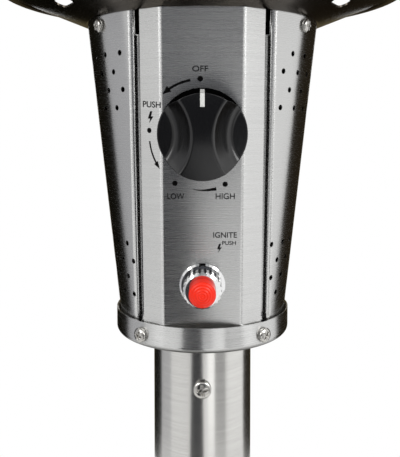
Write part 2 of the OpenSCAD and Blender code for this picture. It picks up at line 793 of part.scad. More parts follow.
// Folded sheet seen from above, with its face on the x axis: one half's face or back, then the whole
function panel_half(inset) = concat(
    [for (k = [0:8]) let (a = flange_fold * k / 8, r = panel_bend_r - inset)
        [panel_w / 2 + r * sin(a), r * cos(a) - panel_bend_r]],
    [[panel_w / 2 + (panel_bend_r - inset) * sin(flange_fold) + flange_w * cos(flange_fold),
        (panel_bend_r - inset) * cos(flange_fold) - panel_bend_r - flange_w * sin(flange_fold)]]);
function mirrored(points) = [for (p = points) [-p.x, p.y]];
function reversed(points) = [for (i = [len(points) - 1:-1:0]) points[i]];
module panel_2d()
    polygon(concat(panel_half(0), reversed(panel_half(sheet_t)),
        mirrored(panel_half(sheet_t)), reversed(mirrored(panel_half(0)))));

module front_panel() color("gainsboro")
    difference() {
        intersection() {
            union() {
                translate([0, -panel_bot_y, head_z]) rotate([panel_tilt, 0, 0]) rotate(180)
                    translate([0, 0, -ring_h]) linear_extrude(head_h + 2 * ring_h) panel_2d();
                translate([-lip_w / 2, -panel_top_y + sheet_t / 2, head_top_z - sheet_t])
                    cube([lip_w, panel_lip, sheet_t]);
            }
            translate([-panel_box, -panel_box, panel_z])
                cube([2 * panel_box, panel_box, head_top_z - panel_z]);
        }
        for (a = ring_screw_angles) radial(a, ring_r, ring_screw_z)
            cylinder(r = screw_r + seat_gap, h = cut, center = true);
        on_panel(knob_drop) {
            cylinder(r = valve_hole_r, h = cut / 3, center = true);
            for (side = [-1, 1]) translate([side * valve_ear_x, 0, 0])
                cylinder(r = screw_r + fit, h = cut / 3, center = true);
        }
        on_panel(igniter_drop) cylinder(r = barrel_r + fit, h = cut / 3, center = true);
        for (side = [-1, 1]) translate([side * panel_screw_x, -panel_screw_y, head_top_z])
            cylinder(r = screw_r + fit, h = 4 * sheet_t, center = true);
    }

// Screws from the burner pan into the panel's top lip, each with its nut below
module panel_screws() color("gainsboro")
    for (side = [-1, 1]) translate([side * panel_screw_x, -panel_screw_y, pan_z]) {
        screw(small_head_r, small_head_h, screw_r, pan_t + sheet_t + hex_nut_h + past);
        translate([0, 0, -pan_t - sheet_t - hex_nut_h]) hex(small_nut_r, hex_nut_h);
    }

// Gas valve and its knob

module valve_body() color("#b8b8b0")
    difference() {
        union() {
            on_panel(knob_drop) {
                translate([0, 0, -valve_len]) cylinder(r = valve_r, h = valve_len - sheet_t);
                for (side = [-1, 1]) translate([side * valve_ear_x, 0, -sheet_t - valve_plate_t])
                    cylinder(r = valve_ear_r, h = valve_plate_t);
            }
            translate([0, inlet_y, inlet_bottom]) cylinder(r = inlet_stub_r, h = inlet_stub_h);
            translate([0, inlet_y, inlet_bottom]) hex(inlet_stub_r + stub_nut_step, stub_nut_h);
            translate([0, outlet_y, outlet_top - outlet_stub_h])
                cylinder(r = outlet_stub_r, h = outlet_stub_h);
            translate([0, outlet_y, outlet_top - stub_nut_h]) hex(outlet_stub_r + stub_nut_step, stub_nut_h);
            translate([0, pilot_y, pilot_base - pilot_stub_h]) cylinder(r = pilot_stub_r, h = pilot_stub_h);
        }
        on_panel(knob_drop) {
            translate([0, 0, valve_bore]) cylinder(r = sleeve_r + fit, h = past - valve_bore);
            for (side = [-1, 1]) translate([side * valve_ear_x, 0, -valve_screw_len - past])
                cylinder(r = screw_r + fit, h = valve_screw_len + past);
        }
    }

module valve_screws() color("gainsboro")
    on_panel(knob_drop) for (side = [-1, 1]) translate([side * valve_ear_x, 0, 0])
        screw(valve_head_r, small_head_h, screw_r, valve_screw_len);

// Sleeve that the stem turns in and that slides in the valve's bore
module thrust_sleeve() color("#b5964a")
    on_panel(knob_drop) translate([0, 0, sleeve_top - sleeve_len]) ring(sleeve_r, stem_r + fit, sleeve_len);

module valve_stem() color("lightgray")
    on_panel(knob_drop) {
        difference() {
            translate([0, 0, sleeve_top - sleeve_len - clip_t - stem_tail])
                cylinder(r = stem_r, h = stem_top - sleeve_top + sleeve_len + clip_t + stem_tail);
            translate([-stem_r, stem_r - stem_flat, knob_gap]) cube([2 * stem_r, stem_r, knob_h]);
        }
        translate([0, 0, sleeve_top + fit]) cylinder(r = stem_collar_r, h = stem_collar_h);
    }

// Snap ring that holds the stem in its sleeve
module stem_clip() color("dimgray")
    on_panel(knob_drop) translate([0, 0, sleeve_top - sleeve_len - fit - clip_t])
        difference() {
            ring(clip_r, stem_r + fit, clip_t);
            translate([-clip_gap / 2, -2 * clip_r, -past]) cube([clip_gap, 2 * clip_r, clip_t + 2 * past]);
        }

// Knob with a waisted grip bar between two sloping hollows
module control_knob() color("#141414")
    on_panel(knob_drop) translate([0, 0, knob_gap])
        difference() {
            knob_outline();
            for (side = [-1, 1]) translate([side * (grip_w / 2 + grip_scoop_r), 0, knob_floor_h])
                cylinder(r1 = grip_scoop_r - grip_slope, r2 = grip_scoop_r + grip_slope / 8,
                    h = (knob_h - knob_floor_h) * 1.125);
            translate([0, 0, -past])
                ring(knob_r - knob_skirt_t, hub_out_r, knob_floor_h - knob_skirt_t + past);
            difference() {
                translate([0, 0, -past]) cylinder(r = stem_r + fit, h = stem_top - knob_gap + fit + past);
                translate([-stem_r, stem_r - stem_flat + fit, -2 * past]) cube([2 * stem_r, stem_r, knob_h]);
            }
            pointer_slot(fit);
        }

// White inlay that ends flush with the knob's top and rim
module knob_pointer() color("white")
    on_panel(knob_drop) translate([0, 0, knob_gap])
        intersection() {
            knob_outline();
            pointer_slot(0);
        }

module knob_outline()
    rotate_extrude() {
        square([knob_r, knob_floor_h]);
        polygon([[0, 0], [knob_r, knob_floor_h], [knob_r - knob_edge, knob_h - knob_edge],
            [knob_r - 2 * knob_edge, knob_h], [0, knob_h]]);
    }

module pointer_slot(gap)
    translate([-pointer_w / 2 - gap, pointer_start - gap, knob_h - pointer_depth - gap])
        cube([pointer_w + 2 * gap, knob_r, pointer_depth + 2 * gap]);

// Igniter

module igniter_body() color("#dcdccf")
    on_panel(igniter_drop)
        difference() {
            union() {
                translate([0, 0, -barrel_len]) cylinder(r = barrel_r, h = barrel_len + barrel_front);
                translate([0, 0, -igniter_len]) cylinder(r = terminal_r, h = terminal_len + past);
            }
            translate([0, 0, -button_tail - button_travel - 1])
                cylinder(r = button_r + run_fit, h = barrel_front + button_tail + button_travel + 1 + past);
        }

module igniter_nut() color("gainsboro")
    on_panel(igniter_drop) translate([0, 0, -sheet_t - nut_t])
        difference() {
            cylinder(r = nut_r, h = nut_t, $fn = 6);
            translate([0, 0, -past]) cylinder(r = barrel_r + fit, h = nut_t + 2 * past);
        }

// Bezel with a flat flange, a fluted collar and a plain rim
module igniter_bezel() color("lightgray")
    on_panel(igniter_drop)
        difference() {
            union() {
                cylinder(r = bezel_r, h = bezel_flange_t);
                translate([0, 0, bezel_flange_t])
                    cylinder(r1 = bezel_r, r2 = bezel_r - bezel_bevel, h = bezel_bevel);
                cylinder(r = collar_r, h = bezel_h - rim_bevel);
                translate([0, 0, bezel_h - rim_bevel])
                    cylinder(r1 = collar_r, r2 = collar_r - rim_bevel, h = rim_bevel);
            }
            for (a = spread(flute_count)) rotate([0, 0, a])
                translate([collar_r + flute_r / 2, 0, bezel_flange_t + 2 * bezel_bevel])
                    cylinder(r = flute_r, h = bezel_h, $fn = 16);
            translate([0, 0, -past]) cylinder(r = barrel_r + fit, h = barrel_front + past + fit);
            cylinder(r = button_r + run_fit, h = bezel_h + past);
        }

module igniter_button() color("red")
    on_panel(igniter_drop)
        intersection() {
            translate([0, 0, -button_tail]) cylinder(r = button_r, h = button_h + button_tail);
            translate([0, 0, button_h - button_dome_r]) sphere(r = button_dome_r);
        }

// Leads and tubes inside the head

igniter_lead_route = [[0, igniter_rear_y, igniter_rear_z], [0, igniter_rear_y + 12, igniter_rear_z + 1.4],
    [-24, igniter_rear_y + 18, igniter_rear_z + 16], [-24, igniter_rear_y + 18, insulator_bottom - 34],
    [-pilot_x, pilot_y, insulator_bottom - 16], [-pilot_x, pilot_y, insulator_bottom]];
module igniter_lead() color("#bb3322") bent_tube(igniter_lead_route, lead_r, lead_bend);

thermocouple_route = [[5, rear_y + 0.3, rear_z], [5, rear_y + 9, rear_z + 1],
    [pilot_x + 12, rear_y + 12, rear_z + 14], [pilot_x, pilot_y, head_top_z - 22],
    [pilot_x, pilot_y, bracket_z + 24]];
module thermocouple() color("#b87333") bent_tube(thermocouple_route, probe_r, lead_bend);

module tilt_switch() color("#303030")
    translate([0, tilt_y, neck_flange_z]) {
        translate([-tilt_box.x / 2, -tilt_box.y / 2, 0]) cube(tilt_box);
        translate([0, 0, tilt_box.z]) cylinder(r1 = tilt_dome_r, r2 = tilt_dome_r - 1, h = tilt_dome_h);
    }

module tilt_leads() color("#553333")
    for (x = tilt_lead_x) bent_tube([[x, tilt_y, tilt_top], [x, tilt_y, rear_z - 8],
        [x, rear_y + 8, rear_z - 2], [x, rear_y + 0.6, rear_z - 2]], tilt_lead_r, lead_bend);

supply_route = [[0, outlet_y, outlet_top], [0, outlet_y, supply_z], [0, 0, supply_z], [0, 0, jet_bottom]];
module supply_tube() color("silver") bent_tube(supply_route, supply_r, supply_bend);

module pilot_tube() color("silver")
    translate([0, pilot_y, pilot_base]) cylinder(r = pilot_tube_r, h = bracket_z - pilot_base);

module electrode_insulator() color("ivory")
    translate([-pilot_x, pilot_y, insulator_bottom]) {
        cylinder(r = insulator_r, h = insulator_top - insulator_bottom);
        translate([0, 0, bracket_z - insulator_bottom]) cylinder(r = insulator_rim_r, h = insulator_rim_h);
    }

module electrode_pin() color("lightgray")
    bent_tube([[-pilot_x, pilot_y, insulator_top], [-pilot_x, pilot_y, insulator_top + pin_rise],
        [-pilot_x + pin_reach, pilot_y, insulator_top + pin_rise]], pin_r, 3 * pin_r);

module pilot_bracket() color("gainsboro")
    difference() {
        translate([-pilot_x - bracket_margin, pilot_y - bracket_depth / 2, pan_z])
            cube([2 * (pilot_x + bracket_margin), bracket_depth, bracket_t]);
        for (hole = [[-pilot_x, insulator_r], [0, pilot_tube_r], [pilot_x, probe_r]])
            translate([hole[0], pilot_y, pan_z - past])
                cylinder(r = hole[1] + fit, h = bracket_t + 2 * past);
    }

module pilot_burner() color("#c9a94f")
    translate([0, pilot_y, bracket_z])
        difference() {
            union() {
                hex(pilot_hex_r, pilot_hex_h);
                cylinder(r = pilot_burner_r, h = pilot_top - bracket_z);
            }
            translate([0, 0, pilot_hex_h + 2 * past]) cylinder(r = pilot_bore_r, h = pilot_top - bracket_z);
            translate([-pilot_hex_r, 0, pilot_hex_h + 4 * past])
                cube([2 * pilot_hex_r, pilot_hex_r, pilot_hex_h]);
        }

// Burner

module burner_jet() color("#b5964a")
    translate([0, 0, jet_bottom]) {
        hex(jet_hex_r, jet_h - jet_tip_h);
        cylinder(r1 = 2 * jet_tip_r, r2 = jet_tip_r, h = jet_h + jet_tip_h);
    }

// Mixing tube with a flared mouth, held by its flange on the burner pan
module burner_tube() color("#9a9a94")
    difference() {
        mouth_z = head_top_z - venturi_drop;
        neck_z = mouth_z + mouth_h;
        inner_r = venturi_r - venturi_t;
        flange_z = pan_z + burner_flange_t;
        rotate_extrude() polygon([[inner_r, neck_z], [inner_r, burner_z], [venturi_r, burner_z],
            [venturi_r, flange_z], [burner_flange_r, flange_z], [burner_flange_r, pan_z],
            [venturi_r, pan_z], [venturi_r, neck_z], [venturi_r + mouth_flare, mouth_z],
            [inner_r + mouth_flare, mouth_z]]);
        for (a = burner_screw_angles) rotate([0, 0, a]) translate([0, -burner_screw_ring_r, pan_z - past])
            cylinder(r = screw_r + fit, h = burner_flange_t + 2 * past);
    }

module burner_screws() color("gainsboro")
    for (a = burner_screw_angles) rotate([0, 0, a])
        translate([0, -burner_screw_ring_r, pan_z + burner_flange_t]) {
        stack = pan_t + burner_flange_t + hex_nut_h;
        screw(small_head_r, small_head_h, screw_r, stack + past);
        translate([0, 0, -stack]) hex(small_nut_r, hex_nut_h);
    }

module burner_drum() color("#8a8a86")
    difference() {
        rotate_extrude() {
            wall = burner_wall;
            top_z = burner_z + burner_h;
            translate([venturi_r - venturi_t, burner_z]) square([burner_r - venturi_r + venturi_t, wall]);
            translate([burner_r - wall, burner_z]) square([wall, burner_h]);
            polygon([[0, top_z + burner_crown], [burner_r, top_z],
                [burner_r, top_z + wall], [0, top_z + burner_crown + wall]]);
            translate([burner_r - wall, top_z - wall]) square([wall, 2 * wall]);
        }
        for (a = spread(port_count)) radial(a, burner_r, burner_z + burner_h / 2)
            linear_extrude(5 * burner_wall, center = true) slot_2d(port_w, burner_h * 0.6);
    }

// Spun pan whose flare shades the head, with a skirt that the side shell is screwed to
module burner_pan() color("#5c5750")
    difference() {
        rim_rise = (rim_r - shell_top_r - 1) * tan(flare_angle);
        skirt_r = shell_top_r - sheet_t - skirt_gap;
        skirt_run = skirt_h * shell_slope;
        rotate_extrude() {
            polygon([[burner_hole_r, head_top_z], [skirt_r - pan_t, head_top_z],
                [skirt_r - pan_t - skirt_run, head_top_z - skirt_h],
                [skirt_r - skirt_run, head_top_z - skirt_h], [skirt_r, head_top_z],
                [shell_top_r + 1, head_top_z], [rim_r, head_top_z + rim_rise], [rim_r, pan_z + rim_rise],
                [shell_top_r + 1, pan_z], [burner_hole_r, pan_z]]);
            translate([rim_r, head_top_z + rim_rise]) circle(rim_bead_r);
        }
        translate([-shell_gap_x - 1, -2 * shell_top_r, head_top_z - skirt_h - past])
            cube([2 * shell_gap_x + 2, 2 * shell_top_r, skirt_h + past]);
        for (a = pan_screw_angles) radial(a, shell_radius(head_top_z - pan_screw_drop),
            head_top_z - pan_screw_drop, shell_angle) cylinder(r = screw_r + fit, h = cut / 2, center = true);
        for (a = spread(flare_holes)) rotate([0, 0, a])
            translate([0, -shell_top_r - flare_hole_out, head_top_z - past])
                linear_extrude(cut) rotate(90) slot_2d(flare_hole_w, flare_hole_len);
        for (x = [-pilot_x, 0, pilot_x]) translate([x, pilot_y, head_top_z - past])
            cylinder(r = pilot_hole_r, h = pan_t + 2 * past);
        for (side = [-1, 1])
            translate([side * panel_screw_x, -panel_screw_y, head_top_z - past])
                cylinder(r = screw_r + fit, h = pan_t + 2 * past);
        for (a = burner_screw_angles) rotate([0, 0, a])
            translate([0, -burner_screw_ring_r, head_top_z - past])
                cylinder(r = screw_r + fit, h = pan_t + 2 * past);
    }

module pan_screws() color("gainsboro")
    for (a = pan_screw_angles) radial(a, shell_radius(head_top_z - pan_screw_drop),
        head_top_z - pan_screw_drop, shell_angle) screw(screw_head_r, screw_head_h, screw_r, sheet_screw_len);

// Emitter screen and reflector

module emitter_collar() color("silver")
    difference() {
        translate([0, 0, pan_z]) {
            ring(collar_out_r, collar_out_r - pan_t, collar_h);
            ring(collar_out_r, collar_out_r - collar_foot, pan_t);
        }
        for (side = [-1, 1]) translate([side * panel_screw_x, -panel_screw_y, pan_z - past])
            cylinder(r = small_nut_r, h = pan_t + 2 * past);
        for (a = emitter_screw_angles) radial(a, emitter_r, emitter_screw_z)
            cylinder(r = screw_r + fit, h = cut / 2, center = true);
    }

// Perforated cylinder that glows when the burner runs
module emitter_screen() color("#a09a90")
    difference() {
        translate([0, 0, pan_z]) ring(emitter_r, emitter_r - emitter_t, emitter_h);
        for (row = [0:hex_rows - 1], a = spread(hex_count, row % 2 == 0 ? 0 : 180 / hex_count))
            radial(a, emitter_r, pan_z + screen_border + (row + 0.5) * hex_row_h)
                translate([0, 0, -cut / 6]) hex(hex_r, cut / 3);
        for (a = emitter_screw_angles) radial(a, emitter_r, emitter_screw_z)
            cylinder(r = screw_r + fit, h = cut / 2, center = true);
    }

module emitter_screws() color("gainsboro")
    for (a = emitter_screw_angles) radial(a, emitter_r, emitter_screw_z)
        screw(small_head_r, small_head_h, screw_r, sheet_screw_len);

module emitter_cap() color("silver")
    difference() {
        union() {
            translate([0, 0, emitter_top_z]) cylinder(r = emitter_r + fit + cap_t, h = cap_t);
            translate([0, 0, emitter_top_z - cap_lip])
                ring(emitter_r + fit + cap_t, emitter_r + fit, cap_lip + cap_t / 2);
        }
        for (a = stud_angles) rotate([0, 0, a]) translate([0, -stud_ring_r, emitter_top_z - past])
            cylinder(r = stud_r + fit, h = cap_t + 2 * past);
    }

// Hexagonal posts with a stud at each end
module reflector_posts() color("gainsboro")
    for (a = stud_angles) rotate([0, 0, a]) translate([0, -stud_ring_r, cap_z]) {
        tail = cap_t + post_nut_h + stud_end;
        translate([0, 0, -tail]) cylinder(r = stud_r, h = tail + past);
        hex(hex_body_r, reflector_gap);
        cylinder(r = stud_r, h = reflector_gap + reflector_t + washer_t + wing_hub_h + stud_end);
    }

module post_nuts() color("gainsboro")
    for (a = stud_angles) rotate([0, 0, a]) translate([0, -stud_ring_r, emitter_top_z - post_nut_h])
        difference() {
            hex(post_nut_r, post_nut_h);
            translate([0, 0, -past]) cylinder(r = stud_r + fit, h = post_nut_h + 2 * past);
        }

module reflector() color("gainsboro")
    difference() {
        rotate_extrude() {
            polygon([[0, reflector_z], [hub_r, reflector_z],
                [reflector_r - bead_r, reflector_z - reflector_drop],
                [reflector_r - bead_r, reflector_z - reflector_drop + reflector_t],
                [hub_r, reflector_z + reflector_t], [0, reflector_z + reflector_t]]);
            translate([reflector_r - bead_r, reflector_z - reflector_drop]) circle(bead_r);
        }
        for (a = stud_angles) rotate([0, 0, a]) translate([0, -stud_ring_r, reflector_z - past])
            cylinder(r = stud_r + fit, h = reflector_t + 2 * past);
    }

module reflector_washers() color("gainsboro")
    for (a = stud_angles) rotate([0, 0, a]) translate([0, -stud_ring_r, washer_z])
        ring(washer_r, stud_r + fit, washer_t);

module wing_nuts() color("gainsboro")
    for (a = stud_angles) rotate([0, 0, a]) translate([0, -stud_ring_r, wing_z])
        difference() {
            union() {
                cylinder(r1 = wing_hub_r, r2 = wing_hub_r - 1, h = wing_hub_h);
                for (side = [0, 1]) mirror([side, 0, 0]) rotate([90, 0, 0])
                    linear_extrude(wing_t, center = true) {
                        translate([wing_x, wing_y]) circle(wing_r);
                        polygon([[wing_hub_r - wing_t, past], [wing_hub_r + past, past],
                            [wing_x + wing_r * cos(wing_tilt), wing_y - wing_r * sin(wing_tilt)],
                            [wing_x - wing_r * sin(wing_tilt), wing_y + wing_r * cos(wing_tilt)],
                            [wing_hub_r - wing_t, wing_hub_h - past]]);
                    }
            }
            translate([0, 0, -past]) cylinder(r = stud_r + fit, h = wing_hub_h + 2 * past);
        }

base_plate();
base_feet();
thumb_screws();
cylinder_housing();
housing_lid();
post_foot();
foot_screws();
regulator();
regulator_cap();
regulator_spacers();
regulator_screws();
gas_hose();
post();
post_bolts();
neck_tube();
neck_bolts();
neck_screws();
bottom_pan();
ring_screws();
ring_cleats();
side_shell();
front_panel();
panel_screws();
valve_body();
valve_screws();
thrust_sleeve();
valve_stem();
stem_clip();
control_knob();
knob_pointer();
igniter_body();
igniter_nut();
igniter_bezel();
igniter_button();
igniter_lead();
electrode_insulator();
electrode_pin();
pilot_bracket();
pilot_tube();
pilot_burner();
thermocouple();
tilt_switch();
tilt_leads();
supply_tube();
burner_jet();
burner_tube();
burner_drum();
burner_screws();
burner_pan();
pan_screws();
emitter_collar();
emitter_screen();
emitter_screws();
emitter_cap();
reflector_posts();
post_nuts();
reflector();
reflector_washers();
wing_nuts();
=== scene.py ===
# %% [markdown]
# # A gas patio heater, dressed
# The construction comes packed from the CAD model: metres, +Z up, the controls facing -Y. This lesson gives every
# piece its finish, makes finer meshes for the pieces that are seen close up, and sets up a small photo studio.

# %% Load the frame
import json
import math
import random

import bmesh
import bpy
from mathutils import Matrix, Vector


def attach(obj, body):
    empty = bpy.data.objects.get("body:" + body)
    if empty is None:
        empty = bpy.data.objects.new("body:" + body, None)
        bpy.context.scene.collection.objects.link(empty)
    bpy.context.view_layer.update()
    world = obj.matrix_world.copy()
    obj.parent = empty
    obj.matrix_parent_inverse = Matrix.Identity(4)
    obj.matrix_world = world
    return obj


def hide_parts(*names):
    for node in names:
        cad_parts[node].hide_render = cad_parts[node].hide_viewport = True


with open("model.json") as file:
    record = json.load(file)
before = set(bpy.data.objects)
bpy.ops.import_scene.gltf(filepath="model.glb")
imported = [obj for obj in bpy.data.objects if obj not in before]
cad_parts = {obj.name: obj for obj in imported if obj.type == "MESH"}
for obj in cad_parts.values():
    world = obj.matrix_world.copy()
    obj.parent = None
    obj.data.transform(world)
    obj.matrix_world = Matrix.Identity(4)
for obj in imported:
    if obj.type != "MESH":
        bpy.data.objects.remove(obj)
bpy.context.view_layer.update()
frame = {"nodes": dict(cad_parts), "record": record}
MM = 0.001
scene = bpy.context.scene
scene.view_settings.view_transform = "Standard"

# %% [markdown]
# ## Camera
# The picture is a close view of the control head from straight in front. The camera stands level with the knob and
# looks down by less than three degrees; a lens shift does the rest of the framing and keeps the post upright.

# %% Camera
CAMERA_DISTANCE = 0.390
CAMERA_HEIGHT = 0.655
CAMERA_PITCH = 2.67
CAMERA_LENS = 49.9
CAMERA_SHIFT = (-0.0052, -0.155)
SENSOR_WIDTH = 36
NEAR_CLIP = 0.01

camera_data = bpy.data.cameras.new("camera")
camera_data.sensor_width = SENSOR_WIDTH
camera_data.lens = CAMERA_LENS
camera_data.shift_x, camera_data.shift_y = CAMERA_SHIFT
camera_data.clip_start = NEAR_CLIP
camera = bpy.data.objects.new("camera", camera_data)
camera.location = (0, -CAMERA_DISTANCE, CAMERA_HEIGHT)
camera.rotation_euler = (math.radians(90 - CAMERA_PITCH), 0, 0)
scene.collection.objects.link(camera)
scene.camera = camera
print("camera", CAMERA_DISTANCE, "m from the axis, lens", CAMERA_LENS, "mm")

# %% [markdown]
# ## Small tools for finishes
# Every finish below is a shader tree. One function turns an sRGB hex value into Blender's linear colour, one adds a
# node with its settings and links, and one starts a material, so that a finish reads as a short list of steps.


# %% Colour and node helpers
def linear(hex_colour):
    channels = [int(hex_colour[i:i + 2], 16) / 255 for i in (1, 3, 5)]
    return [c / 12.92 if c <= 0.04045 else ((c + 0.055) / 1.055) ** 2.4 for c in channels] + [1.0]


def add_node(tree, kind, settings=None, links=None):
    node = tree.nodes.new(kind)
    for key, value in (settings or {}).items():
        if isinstance(key, int) or key in node.inputs:
            node.inputs[key].default_value = value
        else:
            setattr(node, key, value)
    for key, source in (links or {}).items():
        tree.links.new(source, node.inputs[key])
    return node


def new_material(name, colour, roughness, **sockets):
    material = bpy.data.materials.new(name)
    material.use_nodes = True
    tree = material.node_tree
    shader = tree.nodes["Principled BSDF"]
    shader.inputs["Base Color"].default_value = linear(colour)
    shader.inputs["Roughness"].default_value = roughness
    for socket, value in sockets.items():
        shader.inputs[socket.replace("_", " ")].default_value = value
    return material, tree, shader


print("grey #808080 is", round(linear("#808080")[0], 3), "in linear light")

# %% [markdown]
# ## Finishes with a grain
# Brushed sheet has fine lines along the way the belt ran, here level round the head. The lines blur reflections
# up and down but hardly sideways, so the shader is anisotropic with its long axis upright, and a stretched noise
# draws the lines themselves. The side that faces the axis is given a darker, greyer tone and a higher roughness.

# %% Which way the sheet faces
INWARDS = -0.3
ON_CONE = 0.96
SHELL_EDGE_X, ROLL_W, ROLL_TURN, ROLL_RISE = 36.3, 2.8, 0.7, 0.6


def away_from_axis(tree, place):
    level = add_node(tree, "ShaderNodeVectorMath", {"operation": "MULTIPLY", 1: (1, 1, 0)},
                     {0: place.outputs["Object"]})
    return add_node(tree, "ShaderNodeVectorMath", {"operation": "NORMALIZE"}, {0: level.outputs[0]})


def facing_inwards(tree, place):
    outwards = away_from_axis(tree, place)
    surface = add_node(tree, "ShaderNodeNewGeometry")
    turned = add_node(tree, "ShaderNodeVectorMath", {"operation": "DOT_PRODUCT"},
                      {0: outwards.outputs[0], 1: surface.outputs["True Normal"]})
    return add_node(tree, "ShaderNodeMath", {"operation": "LESS_THAN", 1: INWARDS}, {0: turned.outputs["Value"]})


def rolled_edges(tree, place, normal):
    """Turns the normal towards the panel in the last millimetres before the shell's two front edges."""
    axes = add_node(tree, "ShaderNodeSeparateXYZ", links={0: place.outputs["Object"]})
    reach = add_node(tree, "ShaderNodeMath", {"operation": "ABSOLUTE"}, {0: axes.outputs["X"]})
    near = add_node(tree, "ShaderNodeMapRange",
                    {"From Min": SHELL_EDGE_X * MM, "From Max": (SHELL_EDGE_X + ROLL_W) * MM,
                     "To Min": 1.0, "To Max": 0.0}, {"Value": reach.outputs[0]})
    bend = add_node(tree, "ShaderNodeMath", {"operation": "POWER", 1: ROLL_RISE}, {0: near.outputs["Result"]})
    front = add_node(tree, "ShaderNodeMath", {"operation": "LESS_THAN", 1: 0.0}, {0: axes.outputs["Y"]})
    amount = add_node(tree, "ShaderNodeMath", {"operation": "MULTIPLY"}, {0: bend.outputs[0], 1: front.outputs[0]})
    side = add_node(tree, "ShaderNodeMath", {"operation": "SIGN"}, {0: axes.outputs["X"]})
    push = add_node(tree, "ShaderNodeMath", {"operation": "MULTIPLY"}, {0: amount.outputs[0], 1: side.outputs[0]})
    turn = add_node(tree, "ShaderNodeCombineXYZ", links={"X": push.outputs[0]})
    bent = add_node(tree, "ShaderNodeVectorMath", {"operation": "MULTIPLY_ADD", 1: (-ROLL_TURN, 0, 0)},
                    {0: turn.outputs[0], 2: normal.outputs[0]})
    return add_node(tree, "ShaderNodeVectorMath", {"operation": "NORMALIZE"}, {0: bent.outputs[0]})


def cone_normal(tree, place, slope_deg):
    """The surface's own normal, and on the outside of a cone round the axis the exact one, with rolled edges."""
    slope = math.radians(slope_deg)
    outwards = away_from_axis(tree, place)
    plain = add_node(tree, "ShaderNodeVectorMath",
                     {"operation": "MULTIPLY_ADD", 1: (math.cos(slope),) * 3, 2: (0, 0, -math.sin(slope))},
                     {0: outwards.outputs[0]})
    leaning = rolled_edges(tree, place, plain)
    surface = add_node(tree, "ShaderNodeNewGeometry")
    turned = add_node(tree, "ShaderNodeVectorMath", {"operation": "DOT_PRODUCT"},
                      {0: plain.outputs[0], 1: surface.outputs["True Normal"]})
    outside = add_node(tree, "ShaderNodeMath", {"operation": "GREATER_THAN", 1: ON_CONE}, {0: turned.outputs["Value"]})
    return add_node(tree, "ShaderNodeMix", {"data_type": "VECTOR"},
                    {0: outside.outputs[0], 4: surface.outputs["Normal"], 5: leaning.outputs[0]}).outputs[1]


print("shading rolls in over the last", ROLL_W, "mm before the shell's front edges")

# %% Grained metal
NOISE_LOW, NOISE_HIGH = 0.3, 0.7
BRUSH_DEPTH, BRUSH_SWING = 0.02, 0.07
INSIDE, INSIDE_ROUGHNESS = "#8b867d", 0.7
# Painted shade: the dark grey for faces that look down, and the normal heights over which it comes in
UNDERSIDE_SHADE, UNDER_FROM, UNDER_TO = "#3a3835", -0.15, -0.8
# Two tones, roughness, spacing and length of the lines in mm, bump and anisotropy
BRUSHED = ("#b9b9b8", "#c3c3c2", 0.27, 0.3, 45, 0.045, 0.92)
POLISHED = ("#c2c1be", "#cbcac7", 0.22, 0.8, 30, 0.05, 0.5)


# Painted shade: faces that look downwards get a dark grey in place of the sheet's own tone.
def paint_shade_underneath(tree, tone):
    surface = add_node(tree, "ShaderNodeNewGeometry")
    axes = add_node(tree, "ShaderNodeSeparateXYZ", links={0: surface.outputs["Normal"]})
    under = add_node(tree, "ShaderNodeMapRange", {"From Min": UNDER_FROM, "From Max": UNDER_TO},
                     {"Value": axes.outputs["Z"]})
    return add_node(tree, "ShaderNodeMix", {"data_type": "RGBA", 7: linear(UNDERSIDE_SHADE)},
                    {0: under.outputs["Result"], 6: tone.outputs[2]})


def grained_metal(name, colour, second_colour, roughness, spacing_mm, run_mm, bump, anisotropic, cone_deg=None,
                  shade_underneath=False):
    material, tree, shader = new_material(name, colour, roughness, Metallic=1.0, Anisotropic=anisotropic)
    place = add_node(tree, "ShaderNodeTexCoord")
    along, across = 1 / (run_mm * MM), 1 / (spacing_mm * MM)
    stretched = add_node(tree, "ShaderNodeMapping", {"Scale": (along, along, across)},
                         {"Vector": place.outputs["Object"]})
    lines = add_node(tree, "ShaderNodeTexNoise", {"Scale": 1.0, "Detail": 3.0, "Roughness": 0.6},
                     {"Vector": stretched.outputs["Vector"]})
    strength = add_node(tree, "ShaderNodeMapRange", {"From Min": NOISE_LOW, "From Max": NOISE_HIGH},
                        {"Value": lines.outputs["Fac"]})
    tone = add_node(tree, "ShaderNodeMix", {"data_type": "RGBA", 6: linear(colour), 7: linear(second_colour)},
                    {0: strength.outputs["Result"]})
    inner = facing_inwards(tree, place)
    both = add_node(tree, "ShaderNodeMix", {"data_type": "RGBA", 7: linear(INSIDE)},
                    {0: inner.outputs[0], 6: tone.outputs[2]})
    if shade_underneath:
        both = paint_shade_underneath(tree, both)
    rough = add_node(tree, "ShaderNodeMapRange",
                     {"To Min": roughness * (1 - BRUSH_SWING), "To Max": roughness * (1 + BRUSH_SWING)},
                     {"Value": strength.outputs["Result"]})
    dull = add_node(tree, "ShaderNodeMix", {"data_type": "FLOAT", 3: INSIDE_ROUGHNESS},
                    {0: inner.outputs[0], 2: rough.outputs["Result"]})
    dents = add_node(tree, "ShaderNodeBump", {"Strength": bump, "Distance": BRUSH_DEPTH * MM},
                     {"Height": lines.outputs["Fac"]})
    if cone_deg is not None:
        tree.links.new(cone_normal(tree, place, cone_deg), dents.inputs["Normal"])
    upright = add_node(tree, "ShaderNodeCombineXYZ", {"Z": 1.0})
    tree.links.new(both.outputs[2], shader.inputs["Base Color"])
    tree.links.new(dull.outputs[0], shader.inputs["Roughness"])
    tree.links.new(dents.outputs["Normal"], shader.inputs["Normal"])
    tree.links.new(upright.outputs["Vector"], shader.inputs["Tangent"])
    return material


finishes = {
    "brushed_stainless": grained_metal("brushed stainless sheet", *BRUSHED),
    "polished_stainless": grained_metal("polished stainless tube", *POLISHED),
}
print("grained metals:", [m.name for m in finishes.values()])

# %% [markdown]
# ## Finishes with a mottle
# Cast, moulded, plated and rubber surfaces have no direction. A plain noise at the size of their texture moves the
# colour, the roughness and a slight bump together.


